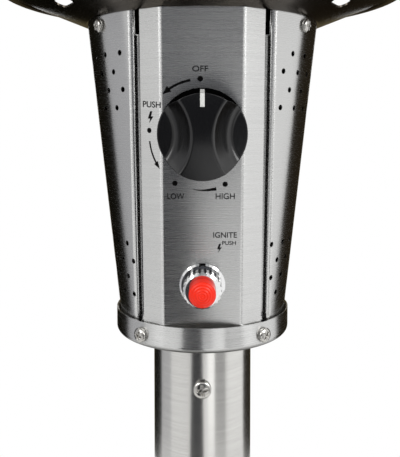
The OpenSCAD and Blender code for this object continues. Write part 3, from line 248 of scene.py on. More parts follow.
# %% Mottled finishes
def mottled(name, colour, second_colour, roughness, grain_mm, bump, depth_mm=0.05, swing=0.15, **sockets):
    material, tree, shader = new_material(name, colour, roughness, **sockets)
    place = add_node(tree, "ShaderNodeTexCoord")
    grain = add_node(tree, "ShaderNodeTexNoise", {"Scale": 1 / (grain_mm * MM), "Detail": 4.0},
                     {"Vector": place.outputs["Object"]})
    strength = add_node(tree, "ShaderNodeMapRange", {"From Min": NOISE_LOW, "From Max": NOISE_HIGH},
                        {"Value": grain.outputs["Fac"]})
    tone = add_node(tree, "ShaderNodeMix", {"data_type": "RGBA", 6: linear(colour), 7: linear(second_colour)},
                    {0: strength.outputs["Result"]})
    rough = add_node(tree, "ShaderNodeMapRange",
                     {"To Min": roughness * (1 - swing), "To Max": roughness * (1 + swing)},
                     {"Value": strength.outputs["Result"]})
    dents = add_node(tree, "ShaderNodeBump", {"Strength": bump, "Distance": depth_mm * MM},
                     {"Height": grain.outputs["Fac"]})
    tree.links.new(tone.outputs[2], shader.inputs["Base Color"])
    tree.links.new(rough.outputs["Result"], shader.inputs["Roughness"])
    tree.links.new(dents.outputs["Normal"], shader.inputs["Normal"])
    return material


finishes.update({
    # Painted shade: this stainless has a dark base colour that stands in for shadow and the dark surroundings it
    # mirrors.
    "dark_stainless": mottled("stainless painted dark for shade", "#4a4540", "#575149", 0.2, 40, 0.02, Metallic=1.0),
    "cast_base": mottled("hammered enamel on cast iron", "#232325", "#2e2e31", 0.42, 2.2, 0.5, 0.2),
    "rubber_feet": mottled("moulded rubber", "#1b1b1b", "#262625", 0.75, 0.8, 0.3),
    "black_plastic": mottled("black moulded plastic", "#050506", "#080809", 0.2, 0.5, 0.04,
                             Specular_IOR_Level=0.5),
    "zinc_plated": mottled("zinc-plated steel", "#b7b9ba", "#c4c3bb", 0.3, 1.5, 0.1, Metallic=1.0),
    "bright_screws": mottled("nickel-plated steel", "#aeaca8", "#b8b6b2", 0.14, 1.2, 0.03, Metallic=1.0),
    "die_cast_zinc": mottled("die-cast zinc", "#9b9c9c", "#abacab", 0.45, 0.9, 0.3, Metallic=1.0),
    "brass_fitting": mottled("turned brass", "#b99a55", "#c7aa66", 0.28, 1.0, 0.1, Metallic=1.0),
    "copper_tube": mottled("drawn copper", "#b4714b", "#c58059", 0.3, 2.0, 0.1, Metallic=1.0),
    "aluminium_tube": mottled("drawn aluminium", "#b3b4b5", "#bfc0c0", 0.35, 1.5, 0.1, Metallic=1.0),
    "hose_rubber": mottled("hose rubber", "#181818", "#222222", 0.6, 0.8, 0.3),
    "lead_sleeve": mottled("silicone sleeve", "#8f2f22", "#a33a2b", 0.5, 0.8, 0.2),
    "white_print": mottled("white inlay", "#bfbfbc", "#c8c8c5", 0.4, 0.6, 0.1),
    "ivory_plastic": mottled("ivory plastic", "#d9d6c6", "#e2dfd0", 0.4, 0.8, 0.1),
    "ceramic_insulator": mottled("glazed ceramic", "#efece2", "#e7e3d6", 0.2, 1.5, 0.1),
    "chrome_bezel": mottled("chrome plate", "#d6d6d6", "#dedede", 0.07, 1.5, 0.02, Metallic=1.0),
    "burner_steel": mottled("scaled burner steel", "#6e675e", "#837a6d", 0.5, 3.0, 0.2, Metallic=1.0),
})
print("finishes:", len(finishes))

# %% [markdown]
# ## Places on the panel
# The front panel leans inwards towards its foot. A place on it is given in millimetres: how far below the head's top,
# then to the right, up along the panel and out from it.

# %% Panel places
HEAD_TOP, HEAD_H = 716.2, 184
PANEL_TOP_Y, PANEL_BOT_Y = 67.5, 45.2
KNOB_DROP, IGNITER_DROP = 63, 146
SHELL_SLOPE = 6.18
tilt = math.atan2(PANEL_TOP_Y - PANEL_BOT_Y, HEAD_H)
OUT = Vector((0, -math.cos(tilt), -math.sin(tilt)))
UP = Vector((0, -math.sin(tilt), math.cos(tilt)))


def on_panel(drop):
    return Vector((0, drop * math.tan(tilt) - PANEL_TOP_Y, HEAD_TOP - drop)) * MM


def panel_local(drop, x, y, z):
    return on_panel(drop) + (Vector((x, 0, 0)) + UP * y + OUT * z) * MM


print("panel tilt", round(math.degrees(tilt), 2), "degrees")

# %% [markdown]
# ## Finishes with rings
# A spun sheet and a moulded button both carry rings round an axis. The distance from that axis drives a sine, which
# becomes a slight bump: about 2.5 mm from ring to ring on the reflector, 1.4 mm on the button.


# %% Rings round an axis
def axis_distance(tree, centre, axis):
    place = add_node(tree, "ShaderNodeTexCoord")
    offset = add_node(tree, "ShaderNodeVectorMath", {"operation": "SUBTRACT", 1: centre},
                      {0: place.outputs["Object"]})
    across = add_node(tree, "ShaderNodeVectorMath", {"operation": "CROSS_PRODUCT", 1: axis}, {0: offset.outputs[0]})
    return add_node(tree, "ShaderNodeVectorMath", {"operation": "LENGTH"}, {0: across.outputs[0]})


def ringed(name, colour, roughness, centre, axis, step_mm, depth_mm, bump, **sockets):
    material, tree, shader = new_material(name, colour, roughness, **sockets)
    distance = axis_distance(tree, centre, axis)
    turns = add_node(tree, "ShaderNodeMath", {"operation": "MULTIPLY", 1: 2 * math.pi / (step_mm * MM)},
                     {0: distance.outputs["Value"]})
    wave = add_node(tree, "ShaderNodeMath", {"operation": "SINE"}, {0: turns.outputs[0]})
    dents = add_node(tree, "ShaderNodeBump", {"Strength": bump, "Distance": depth_mm * MM},
                     {"Height": wave.outputs[0]})
    tree.links.new(dents.outputs["Normal"], shader.inputs["Normal"])
    return material


finishes["aluminium_reflector"] = ringed("spun aluminium", "#b2b4b6", 0.3, (0, 0, 0), (0, 0, 1), 2.5, 0.03, 0.3,
                                         Metallic=1.0)
finishes["red_button"] = ringed("red moulded plastic", "#df2000", 0.3, on_panel(IGNITER_DROP), OUT, 1.4, 0.12, 0.8,
                                Specular_IOR_Level=0.3)
print("ringed finishes: reflector and button")

# %% [markdown]
# ## Painted shade in the bezel's flutes
# The floor of the flutes is painted dark, as shade that falls there. The distance from the button's axis tells floor
# from ridge, so the plate is dark low down and bright on the ridges and on the rim that faces out.

# %% Painted shade in the flutes
FLUTE_FLOOR, COLLAR_R = 10.0, 10.35
GROOVE_SHADE, RIM_FACING = "#1a1a1b", 0.3


# Painted shade: the flute floors take a dark grey in place of the plate's own tone, as shade in the recesses.
def paint_groove_shade(material, centre, axis, from_mm, to_mm, soil):
    tree = material.node_tree
    shader = tree.nodes["Principled BSDF"]
    tone = shader.inputs["Base Color"].links[0].from_socket
    distance = axis_distance(tree, centre, axis)
    ridge = add_node(tree, "ShaderNodeMapRange", {"From Min": from_mm * MM, "From Max": to_mm * MM},
                     {"Value": distance.outputs["Value"]})
    surface = add_node(tree, "ShaderNodeNewGeometry")
    facing = add_node(tree, "ShaderNodeVectorMath", {"operation": "DOT_PRODUCT", 1: axis},
                      {0: surface.outputs["True Normal"]})
    rim = add_node(tree, "ShaderNodeMath", {"operation": "GREATER_THAN", 1: RIM_FACING}, {0: facing.outputs["Value"]})
    unshaded = add_node(tree, "ShaderNodeMath", {"operation": "MAXIMUM"}, {0: ridge.outputs["Result"], 1: rim.outputs[0]})
    both = add_node(tree, "ShaderNodeMix", {"data_type": "RGBA", 6: linear(soil)}, {0: unshaded.outputs[0], 7: tone})
    tree.links.new(both.outputs[2], shader.inputs["Base Color"])


paint_groove_shade(finishes["chrome_bezel"], on_panel(IGNITER_DROP), OUT, FLUTE_FLOOR, COLLAR_R, GROOVE_SHADE)
print("soil up to", COLLAR_R, "mm from the button's axis")

# %% [markdown]
# ## Dress the imported pieces
# Each imported piece gets the finish that its slot names. Two pieces have their own brushed sheet: the side shell's
# shading follows the exact cone and rolls in at the two front edges, and the bottom pan has painted shade underneath.

# %% Dressing
slot_of = {subpart["node"]: subpart["material_slot"] for subpart in frame["record"]["subparts"]}
for node, slot in slot_of.items():
    packed = frame["nodes"][node]
    packed.data.materials.clear()
    packed.data.materials.append(finishes[slot])


def stands_for(piece, node, body):
    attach(piece, body)
    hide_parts(node)


frame["nodes"]["side_shell"].data.materials[0] = grained_metal(
    "brushed stainless cone", *BRUSHED, cone_deg=SHELL_SLOPE)
# The bottom pan's downward faces are painted dark as shade.
frame["nodes"]["bottom_pan"].data.materials[0] = grained_metal(
    "brushed stainless, painted shade underneath", *BRUSHED, shade_underneath=True)
print("dressed nodes:", len(slot_of))

# %% [markdown]
# ## Knob
# The knob's face is drawn as a height over its disc: a slightly crowned grip across the middle, two scoops that run
# down to a low floor in soft curves, and a drafted rim. Rings of points round the axis follow that height; a skirt
# closes the back. The face is glossy, and the steep walls have a matt texture.

# %% Knob height
KNOB_R, KNOB_H, KNOB_GAP, KNOB_FLOOR = 23.0, 21.0, 4.0, 7.0
GRIP_W, SCOOP_R, SCOOP_SLOPE = 10.4, 29.3, 8.0
EDGE_FROM, EDGE_TO, EDGE_H, EDGE_BOW = 19.4, 21.6, 1.9, 0.85
RIM_ROUND, CROWN_R = 0.6, 120.0
FLOOR_FILLET, GRIP_FILLET = 0.3, 0.09


def soft_ramp(t):
    if t < FLOOR_FILLET:
        return max(t + FLOOR_FILLET, 0.0) ** 2 / (4 * FLOOR_FILLET)
    return 1 - max(1 + GRIP_FILLET - t, 0.0) ** 2 / (4 * GRIP_FILLET) if t > 1 - GRIP_FILLET else t


def knob_height(x, y):
    r = math.hypot(x, y)
    wall = (math.hypot(abs(x) - GRIP_W / 2 - SCOOP_R, y) - SCOOP_R + SCOOP_SLOPE) / SCOOP_SLOPE
    height = KNOB_FLOOR + (KNOB_H - y * y / (2 * CROWN_R) - KNOB_FLOOR) * soft_ramp(wall)
    if r > EDGE_TO:
        edge = KNOB_H - EDGE_H - (KNOB_H - EDGE_H - KNOB_FLOOR) * (r - EDGE_TO) / (KNOB_R - EDGE_TO)
    else:
        bow = max(r - EDGE_FROM, 0.0) / (EDGE_TO - EDGE_FROM)
        edge = KNOB_H - EDGE_H * (1 - math.sqrt(1 - EDGE_BOW * bow * bow)) / (1 - math.sqrt(1 - EDGE_BOW))
    height = min(height, edge)
    drop = max(r - KNOB_R + RIM_ROUND, 0.0)
    return height - RIM_ROUND + math.sqrt(max(RIM_ROUND ** 2 - drop ** 2, 0.0))


print("grip top", knob_height(0, 0), "mm, scoop floor", round(knob_height(18, 0), 2), "mm")


# %% Meshes from rings of points
def ring_mesh(name, rings, material):
    mesh = bpy.data.meshes.new(name)
    form = bmesh.new()
    loops = [[form.verts.new(p) for p in ring] for ring in rings]
    for low, high in zip(loops, loops[1:]):
        n = max(len(low), len(high))
        for k in range(n):
            corners = [low[k % len(low)], low[(k + 1) % len(low)], high[(k + 1) % len(high)], high[k % len(high)]]
            form.faces.new(list(dict.fromkeys(corners)))
    bmesh.ops.recalc_face_normals(form, faces=form.faces)
    for face in form.faces:
        face.smooth = True
    form.to_mesh(mesh)
    form.free()
    mesh.materials.append(material)
    made = bpy.data.objects.new(name, mesh)
    scene.collection.objects.link(made)
    return made


# %% Knob mesh
KNOB_STEPS, SIDE_WALL = 240, 0.3
FACE_RINGS, FACE_STEP = 38, 0.5
RIM_FROM, RIM_RINGS, RIM_STEP = 19, 20, 0.2
# Radius and height of the rings behind the face: the rim, the hollow and the hub
SKIRT = [(23, 5.0), (23, 0.5), (22.6, 0), (20.6, 0), (20.6, 4.6), (7.4, 4.6), (7.4, 0)]
radii = [FACE_STEP * k for k in range(1, FACE_RINGS + 1)] + [RIM_FROM + RIM_STEP * k for k in range(1, RIM_RINGS + 1)]
angles = [2 * math.pi * k / KNOB_STEPS for k in range(KNOB_STEPS)]
rings = [[panel_local(KNOB_DROP, 0, 0, KNOB_GAP + knob_height(0, 0))]]
for r in radii:
    rings.append([panel_local(KNOB_DROP, r * math.sin(a), r * math.cos(a),
                              KNOB_GAP + knob_height(r * math.sin(a), r * math.cos(a))) for a in angles])
for r, z in SKIRT:
    rings.append([panel_local(KNOB_DROP, r * math.sin(a), r * math.cos(a), KNOB_GAP + z) for a in angles])
rings.append([panel_local(KNOB_DROP, 0, 0, KNOB_GAP)])
knob = ring_mesh("knob", rings, finishes["black_plastic"])
knob.data.materials.append(mottled("black textured plastic", "#020202", "#040404", 0.5, 0.5, 0.1,
                                   Specular_IOR_Level=0.0))
for face in knob.data.polygons:
    face.material_index = int(face.normal.dot(OUT) < SIDE_WALL)
stands_for(knob, "control_knob", "knob")
print("knob faces:", len(knob.data.polygons))

# %% [markdown]
# ## Pointer
# The white pointer is an inlay from the rim inwards. It follows the knob's height, a tenth of a millimetre proud.

# %% Pointer
POINTER_W, POINTER_FROM, POINTER_TO = 2.2, 15.0, 22.8
POINTER_PROUD, POINTER_DEEP, POINTER_STEPS = 0.1, 0.6, 40
stations = [POINTER_FROM + (POINTER_TO - POINTER_FROM) * k / POINTER_STEPS for k in range(POINTER_STEPS + 1)]
rings = [[panel_local(KNOB_DROP, 0, POINTER_FROM, KNOB_GAP + KNOB_H - POINTER_DEEP / 2)]]
for y in stations:
    top = KNOB_GAP + knob_height(0, y) + POINTER_PROUD
    half = POINTER_W / 2
    outline = [(-half, top - POINTER_DEEP), (-half, top), (0, top), (half, top), (half, top - POINTER_DEEP)]
    rings.append([panel_local(KNOB_DROP, x, y, z) for x, z in outline])
rings.append([panel_local(KNOB_DROP, 0, POINTER_TO, top - POINTER_DEEP / 2)])
pointer = ring_mesh("pointer", rings, finishes["white_print"])
for face in pointer.data.polygons:
    face.use_smooth = False
stands_for(pointer, "knob_pointer", "knob")
print("pointer", POINTER_W, "x", round(POINTER_TO - POINTER_FROM, 1), "mm")

# %% [markdown]
# ## Rolled edges of the side shell
# The shell's two front edges are rolled in, so that no raw sheet shows beside the panel. Each roll is a short arc from
# the shell's face, a straight leg inwards and a foot behind the panel's flange, drawn at a few heights and joined.
# The burner pan's cuff leaves little room behind the shell's top, so there the roll is only a thin lip.

# %% Shell hems
HEM_R, HEM_FROM_DEG, HEM_ARC_STEPS = 1.5, 46.0, 12
HEM_LOW, CUFF_Z, CUFF_STEP, HEM_HIGH, HEM_LEVELS = 546.0, 703.6, 0.3, 716.0, 24
# The arc's end in degrees, then the leg, the foot and the sheet's thickness in mm
HEM_BELOW = (90.0, 2.2, 5.0, 0.6)
HEM_AT_CUFF = (75.0, 0.02, 0.5, 0.15)
SHELL_TOP_R = 68.8


def hem_section(side, z, profile):
    to_deg, leg, foot, thick = profile
    radius = SHELL_TOP_R - (HEAD_TOP - z) * math.tan(math.radians(SHELL_SLOPE))
    edge = Vector((side * SHELL_EDGE_X, -math.sqrt(radius ** 2 - SHELL_EDGE_X ** 2), z))
    out = Vector((edge.x, edge.y, 0)).normalized()
    along = Vector((side * out.y, -abs(out.x), 0))
    turns = [math.radians(HEM_FROM_DEG + (to_deg - HEM_FROM_DEG) * k / HEM_ARC_STEPS) for k in range(HEM_ARC_STEPS + 1)]
    start = Vector((math.sin(turns[0]), math.cos(turns[0])))
    arc = [(math.sin(a) - start.x, math.cos(a) - start.y, math.sin(a), math.cos(a)) for a in turns]
    face = [(HEM_R * s, HEM_R * c, ns, nc) for s, c, ns, nc in arc]
    face.append((face[-1][0], face[-1][1] - leg, 1.0, 1.0))
    face.append((face[-1][0] + foot, face[-1][1], 0.0, 1.0))
    back = [(s - thick * ns, c - thick * nc) for s, c, ns, nc in reversed(face)]
    return [(edge + along * s + out * c) * MM for s, c in [(s, c) for s, c, _, _ in face] + back]


def hem(name, side):
    levels = [HEM_LOW + (CUFF_Z - HEM_LOW) * k / HEM_LEVELS for k in range(HEM_LEVELS + 1)]
    sections = [hem_section(side, z, HEM_BELOW) for z in levels]
    sections += [hem_section(side, z, HEM_AT_CUFF) for z in (CUFF_Z + CUFF_STEP, HEM_HIGH)]
    ends = [[sum(section, Vector()) / len(section)] for section in (sections[0], sections[-1])]
    made = ring_mesh(name, [ends[0], *sections, ends[1]], finishes["brushed_stainless"])
    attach(made, "heater")
    return made


hems = [hem("shell_hem_" + hand, side) for hand, side in (("left", -1), ("right", 1))]
print("shell hems:", [h.name for h in hems])

# %% [markdown]
# ## Screws
# All the visible screws are cross-headed. One template per size has a domed head with a tapered cross recess, and a
# Geometry Nodes tree sets it on a list of points, turns it to each point's axis and spins it by a random angle, as
# a screwdriver leaves it.

# %% Screw template
# Shares of the head's radius: the slot's half width and reach, and the slopes at its sides and ends
SLOT_HALF, SLOT_SLOPE, SLOT_REACH, SLOT_END = 0.17, 0.07, 0.62, 0.2
# Shares of the head's height: the slot's depth and the straight rim; then how the dome falls towards the rim
SLOT_DEPTH, RIM_SHARE, DOME_FALL, DOME_POWER = 0.55, 0.45, 0.97, 2.4
HEAD_RINGS, HEAD_STEPS = 22, 72


def cross_recess(x, y):
    depth = 0.0
    for along, aside in ((x, y), (y, x)):
        side = min(max((SLOT_HALF - abs(aside)) / SLOT_SLOPE, 0.0), 1.0)
        end = min(max((SLOT_REACH - abs(along)) / SLOT_END, 0.0), 1.0)
        depth = max(depth, side * end)
    return depth


def screw_template(name, head_r, head_h, shank_r, length, nut):
    angles = [2 * math.pi * k / HEAD_STEPS for k in range(HEAD_STEPS)]
    rings = [[Vector((0, 0, head_h * (1 - SLOT_DEPTH)))]]
    for j in range(1, HEAD_RINGS + 1):
        r = j / HEAD_RINGS
        dome = head_h * (RIM_SHARE + (1 - RIM_SHARE) * math.sqrt(max(1 - DOME_FALL * r ** DOME_POWER, 0)))
        ring = []
        for a in angles:
            slot = SLOT_DEPTH * head_h * cross_recess(r * math.cos(a), r * math.sin(a))
            ring.append(Vector((head_r * r * math.cos(a), head_r * r * math.sin(a), dome - slot)))
        rings.append(ring)
    profile = [(head_r, 0), (shank_r, 0)]
    if nut:
        nut_r, nut_from, nut_to = nut
        profile += [(shank_r, -nut_from), (nut_r, -nut_from), (nut_r, -nut_to), (shank_r, -nut_to)]
    for r, z in profile + [(shank_r, -length)]:
        rings.append([Vector((r * math.cos(a), r * math.sin(a), z)) for a in angles])
    rings.append([Vector((0, 0, -length))])
    scaled = [[p * MM for p in ring] for ring in rings]
    return ring_mesh(name, scaled, finishes["bright_screws"])


print("screw head:", HEAD_RINGS, "rings of", HEAD_STEPS, "points")

# %% Geometry Nodes tree that sets screws
setter = bpy.data.node_groups.new("set screws", "GeometryNodeTree")
setter.interface.new_socket("Geometry", in_out="OUTPUT", socket_type="NodeSocketGeometry")
setter.interface.new_socket("Geometry", in_out="INPUT", socket_type="NodeSocketGeometry")
template_socket = setter.interface.new_socket("Template", in_out="INPUT", socket_type="NodeSocketObject")
material_socket = setter.interface.new_socket("Material", in_out="INPUT", socket_type="NodeSocketMaterial")
given = add_node(setter, "NodeGroupInput")
axis = add_node(setter, "GeometryNodeInputNamedAttribute", {"data_type": "FLOAT_VECTOR", "Name": "axis"})
spin = add_node(setter, "GeometryNodeInputNamedAttribute", {"data_type": "FLOAT", "Name": "spin"})
aligned = add_node(setter, "FunctionNodeAlignRotationToVector", {"axis": "Z"}, {"Vector": axis.outputs[0]})
about_axis = add_node(setter, "FunctionNodeAxisAngleToRotation", {"Axis": (0, 0, 1)}, {"Angle": spin.outputs[0]})
turned = add_node(setter, "FunctionNodeRotateRotation", {"rotation_space": "LOCAL"},
                  {"Rotation": aligned.outputs[0], "Rotate By": about_axis.outputs[0]})
template = add_node(setter, "GeometryNodeObjectInfo", links={"Object": given.outputs["Template"]})
placed = add_node(setter, "GeometryNodeInstanceOnPoints",
                  links={"Points": given.outputs["Geometry"], "Instance": template.outputs["Geometry"],
                         "Rotation": turned.outputs[0]})
real = add_node(setter, "GeometryNodeRealizeInstances", links={"Geometry": placed.outputs[0]})
coated = add_node(setter, "GeometryNodeSetMaterial",
                  links={"Geometry": real.outputs[0], "Material": given.outputs["Material"]})
add_node(setter, "NodeGroupOutput", links={"Geometry": coated.outputs[0]})
print("tree:", [n.bl_idname for n in setter.nodes])


# %% Set every size of screw
def round_the_axis(angles, r, z, down_tilt=0.0):
    places = []
    for a in angles:
        front = Vector((math.sin(math.radians(a)), -math.cos(math.radians(a)), 0))
        axis = front * math.cos(down_tilt) - Vector((0, 0, math.sin(down_tilt)))
        places.append((Vector((front.x * r, front.y * r, z)) * MM, axis))
    return places


def set_screws(name, node, places, sizes, nut=None):
    """Sizes are the head's radius and height and the shank's radius and length; a nut's are radius, start and end."""
    points = bpy.data.meshes.new(name)
    points.from_pydata([p for p, _ in places], [], [])
    points.attributes.new("axis", "FLOAT_VECTOR", "POINT")
    points.attributes.new("spin", "FLOAT", "POINT")
    points.attributes["axis"].data.foreach_set("vector", [c for _, direction in places for c in direction])
    points.attributes["spin"].data.foreach_set("value", [chance.uniform(0, math.pi / 2) for _ in places])
    holder = bpy.data.objects.new(name, points)
    scene.collection.objects.link(holder)
    pattern = screw_template(name + "_pattern", *sizes, nut)
    modifier = holder.modifiers.new("screws", "NODES")
    modifier.node_group = setter
    modifier[template_socket.identifier] = pattern
    modifier[material_socket.identifier] = finishes[slot_of[node]]
    evaluated = holder.evaluated_get(bpy.context.evaluated_depsgraph_get())
    made = bpy.data.meshes.new_from_object(evaluated)
    holder.modifiers.remove(modifier)
    holder.data = made
    bpy.data.objects.remove(pattern)
    stands_for(holder, node, "heater")
    print(name, len(places), "screws,", len(made.polygons), "faces")


SPIN_SEED = 7
chance = random.Random(SPIN_SEED)
SHELL_TILT = math.radians(SHELL_SLOPE)
set_screws("shell_screws", "pan_screws", round_the_axis([-124, -56, 56, 124], 68.3, 711.4, SHELL_TILT),
           (3.8, 2.6, 2, 6))
set_screws("rim_screws", "ring_screws", round_the_axis([-140, -40.4, 40.4, 140], 52.6, 539.45), (4.1, 3, 2, 6))
set_screws("neck_bolt_set", "neck_bolts", round_the_axis([0, 120, 240], 30, 504.2), (5.2, 3.2, 3, 6))
set_screws("post_bolt_set", "post_bolts", round_the_axis([90, 270], 30, 331.2), (5.2, 3.2, 3, 6))
set_screws("screen_screws", "emitter_screws", round_the_axis([45, 135, 225, 315], 66, 724.2), (3, 2, 2, 6))
foot_places = [(p, Vector((0, 0, 1))) for p, _ in round_the_axis([45, 135, 225, 315], 46, 303.2)]
set_screws("foot_screw_set", "foot_screws", foot_places, (3.8, 2.6, 2, 9), (4, 4, 7))

# %% [markdown]
# ## Printed marks
# The knob's marks are printed on the panel: three positions, arrows, a wedge that grows with the heat, and plain
# words. They are drawn flat in millimetres from the knob's centre, cut along the panel's bend and then laid on the
# folded sheet.

# %% Panel mapping
FACET_HALF, BEND_R, FOLD = 20.25, 4.0, math.radians(33)
PRINT_LIFT = 0.06
CUTS, CUT_STEP = 8, 0.4


def on_folded_panel(across, up):
    side = 1 if across >= 0 else -1
    past_facet = max(abs(across) - FACET_HALF, 0.0)
    turn = min(past_facet / BEND_R, FOLD)
    straight = past_facet - BEND_R * turn
    x = min(abs(across), FACET_HALF) + (BEND_R + PRINT_LIFT) * math.sin(turn) + straight * math.cos(turn)
    z = (BEND_R + PRINT_LIFT) * math.cos(turn) - BEND_R - straight * math.sin(turn)
    return panel_local(KNOB_DROP, side * x, up, z)


print("panel bends", FACET_HALF, "mm from its middle")

# %% Flat marks
STROKE = 0.012
DOT_STEPS, ARC_STEPS = 32, 20
HEAD_OVERLAP = 0.7
BOLT = [(0.5, 0), (0.85, 0), (0.62, -0.42), (1.0, -0.42), (0.3, -1.0), (0.48, -0.62), (0.1, -0.62)]
marks = bmesh.new()


def lay_down(flat):
    limits = [FACET_HALF + CUT_STEP * k for k in range(CUTS)]
    for limit in [-v for v in limits] + limits:
        bmesh.ops.bisect_plane(flat, geom=flat.verts[:] + flat.edges[:] + flat.faces[:], plane_co=(limit, 0, 0),
                               plane_no=(1, 0, 0))
    for vert in flat.verts:
        vert.co = on_folded_panel(vert.co.x, vert.co.y)
    loose = bpy.data.meshes.new("mark")
    flat.to_mesh(loose)
    flat.free()
    marks.from_mesh(loose)
    bpy.data.meshes.remove(loose)


def outline_mark(points):
    flat = bmesh.new()
    flat.faces.new([flat.verts.new((x, y, 0)) for x, y in points])
    bmesh.ops.triangulate(flat, faces=flat.faces[:])
    lay_down(flat)


def word(text, left, bottom, right, top):
    curve = bpy.data.curves.new(text, "FONT")
    curve.body = text
    curve.offset = STROKE
    typed = bpy.data.objects.new(text, curve)
    scene.collection.objects.link(typed)
    bpy.context.view_layer.update()
    mesh = bpy.data.meshes.new_from_object(typed.evaluated_get(bpy.context.evaluated_depsgraph_get()))
    flat = bmesh.new()
    flat.from_mesh(mesh)
    xs, ys = [v.co.x for v in flat.verts], [v.co.y for v in flat.verts]
    for vert in flat.verts:
        vert.co.x = left + (vert.co.x - min(xs)) / (max(xs) - min(xs)) * (right - left)
        vert.co.y = bottom + (vert.co.y - min(ys)) / (max(ys) - min(ys)) * (top - bottom)
        vert.co.z = 0
    bpy.data.objects.remove(typed)
    bpy.data.meshes.remove(mesh)
    lay_down(flat)


def dot(x, y, r):
    angles = [2 * math.pi * k / DOT_STEPS for k in range(DOT_STEPS)]
    outline_mark([(x + r * math.cos(a), y + r * math.sin(a)) for a in angles])


def bow(points, half_from, half_to):
    left, right = [], []
    for k, (x, y) in enumerate(points):
        ahead, behind = points[min(k + 1, len(points) - 1)], points[max(k - 1, 0)]
        run = Vector((ahead[0] - behind[0], ahead[1] - behind[1])).normalized()
        half = half_from + (half_to - half_from) * k / (len(points) - 1)
        left.append((x - run.y * half, y + run.x * half))
        right.append((x + run.y * half, y - run.x * half))
    outline_mark(left + right[::-1])


def arc(start, middle, end):
    points = []
    for k in range(ARC_STEPS + 1):
        t = k / ARC_STEPS
        a, b, c = (1 - t) * (1 - 2 * t), 4 * t * (1 - t), t * (2 * t - 1)
        points.append((a * start[0] + b * middle[0] + c * end[0], a * start[1] + b * middle[1] + c * end[1]))
    return points


def arrow(start, middle, end, half, head_len, head_half):
    path = arc(start, middle, end)
    near = [p for p in path if math.dist(p, end) > head_len * HEAD_OVERLAP]
    bow(near, half, half)
    tip, root = Vector(end), Vector(near[-1])
    run = (tip - root).normalized()
    side = Vector((-run.y, run.x)) * head_half
    back = tip - run * head_len
    outline_mark([tuple(tip), tuple(back + side), tuple(back - side)])


def bolt(top_x, top_y, w, h):
    outline_mark([(top_x + (x - 0.5) * w, top_y + y * h) for x, y in BOLT])


print("bolt:", len(BOLT), "corners, dot:", DOT_STEPS)

# %% Print the marks
word("OFF", -5.2, 31.0, 3.0, 34.0)
dot(-1.1, 27.4, 1.5)
arrow((-6.2, 26.7), (-14.2, 23.9), (-20.5, 19.5), 0.62, 4.4, 1.9)
word("PUSH", -33.2, 12.2, -21.6, 15.5)
bolt(-28.4, 10.3, 4.0, 6.4)
dot(-29.2, 0.1, 1.4)
arrow((-29.0, -5.6), (-27.0, -13.0), (-22.6, -19.9), 0.48, 4.0, 1.5)
dot(-14.5, -27.5, 1.4)
dot(12.0, -28.0, 1.4)
bow(arc((-5.2, -30.7), (0.9, -31.3), (7.4, -30.4)), 0.08, 0.85)
word("LOW", -18.6, -36.1, -9.6, -32.9)
word("HIGH", 7.0, -36.1, 17.2, -32.9)
word("IGNITE", 5.8, -57.3, 18.5, -54.2)
word("PUSH", 10.6, -61.3, 18.0, -59.1)
bolt(9.0, -60.6, 2.8, 5.0)
ink = new_material("printed ink", "#030303", 0.6, Specular_IOR_Level=0.05)[0]
print_mesh = bpy.data.meshes.new("printed_marks")
for face in marks.faces:
    if face.normal.dot(OUT) < 0:
        face.normal_flip()
marks.to_mesh(print_mesh)
marks.free()
print_mesh.materials.append(ink)
printed = bpy.data.objects.new("printed_marks", print_mesh)
scene.collection.objects.link(printed)
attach(printed, "heater")
print("printed faces:", len(print_mesh.polygons))

# %% [markdown]
# ## Studio
# A small round floor takes the shadow and fades to the white of the surroundings. Bright metal is drawn by what it
# mirrors, so flat cards stand round the head and show in reflections only: a grey one in front with lighter ones beside
# it, white and grey ones low in front and a dark one low at the left, light ones at both sides, and dark ones behind.

# %% World and floor
AMBIENT = 0.55
FLOOR_R, FLOOR_SIDES = 0.9, 96
FADE_FROM, FADE_TO = 0.45, 0.8


def seen_directly(tree):
    path = add_node(tree, "ShaderNodeLightPath")
    glossy = add_node(tree, "ShaderNodeMath", {"operation": "MAXIMUM"},
                      {0: path.outputs["Is Camera Ray"], 1: path.outputs["Is Glossy Ray"]})
    return add_node(tree, "ShaderNodeMath", {"operation": "MAXIMUM"},
                    {0: glossy.outputs[0], 1: path.outputs["Is Transmission Ray"]}).outputs[0]


world = bpy.data.worlds.new("studio")
scene.world = world
world.use_nodes = True
sky = world.node_tree.nodes["Background"]
sky.inputs["Color"].default_value = (1, 1, 1, 1)
level = add_node(world.node_tree, "ShaderNodeMapRange", {"To Min": AMBIENT, "To Max": 1.0},
                 {"Value": seen_directly(world.node_tree)})
world.node_tree.links.new(level.outputs["Result"], sky.inputs["Strength"])

bpy.ops.mesh.primitive_circle_add(vertices=FLOOR_SIDES, radius=FLOOR_R, fill_type="NGON")
floor = bpy.context.object
floor.name = "studio_floor"
floor_material, tree, shader = new_material("studio floor", "#f0f0ee", 0.9)
place = add_node(tree, "ShaderNodeTexCoord")
away = add_node(tree, "ShaderNodeVectorMath", {"operation": "LENGTH"}, {0: place.outputs["Object"]})
fade = add_node(tree, "ShaderNodeMapRange", {"From Min": FADE_FROM, "From Max": FADE_TO},
                {"Value": away.outputs["Value"]})
direct = add_node(tree, "ShaderNodeMath", {"operation": "MULTIPLY"},
                  {0: fade.outputs["Result"], 1: seen_directly(tree)})
white = add_node(tree, "ShaderNodeEmission", {"Strength": 1.0})
mixed = add_node(tree, "ShaderNodeMixShader", links={0: direct.outputs[0], 1: shader.outputs[0], 2: white.outputs[0]})
tree.links.new(mixed.outputs[0], tree.nodes["Material Output"].inputs["Surface"])
floor.data.materials.append(floor_material)
print("floor radius", FLOOR_R, "m")

# %% Lamps and cards
HEAD_HEIGHT = 0.63
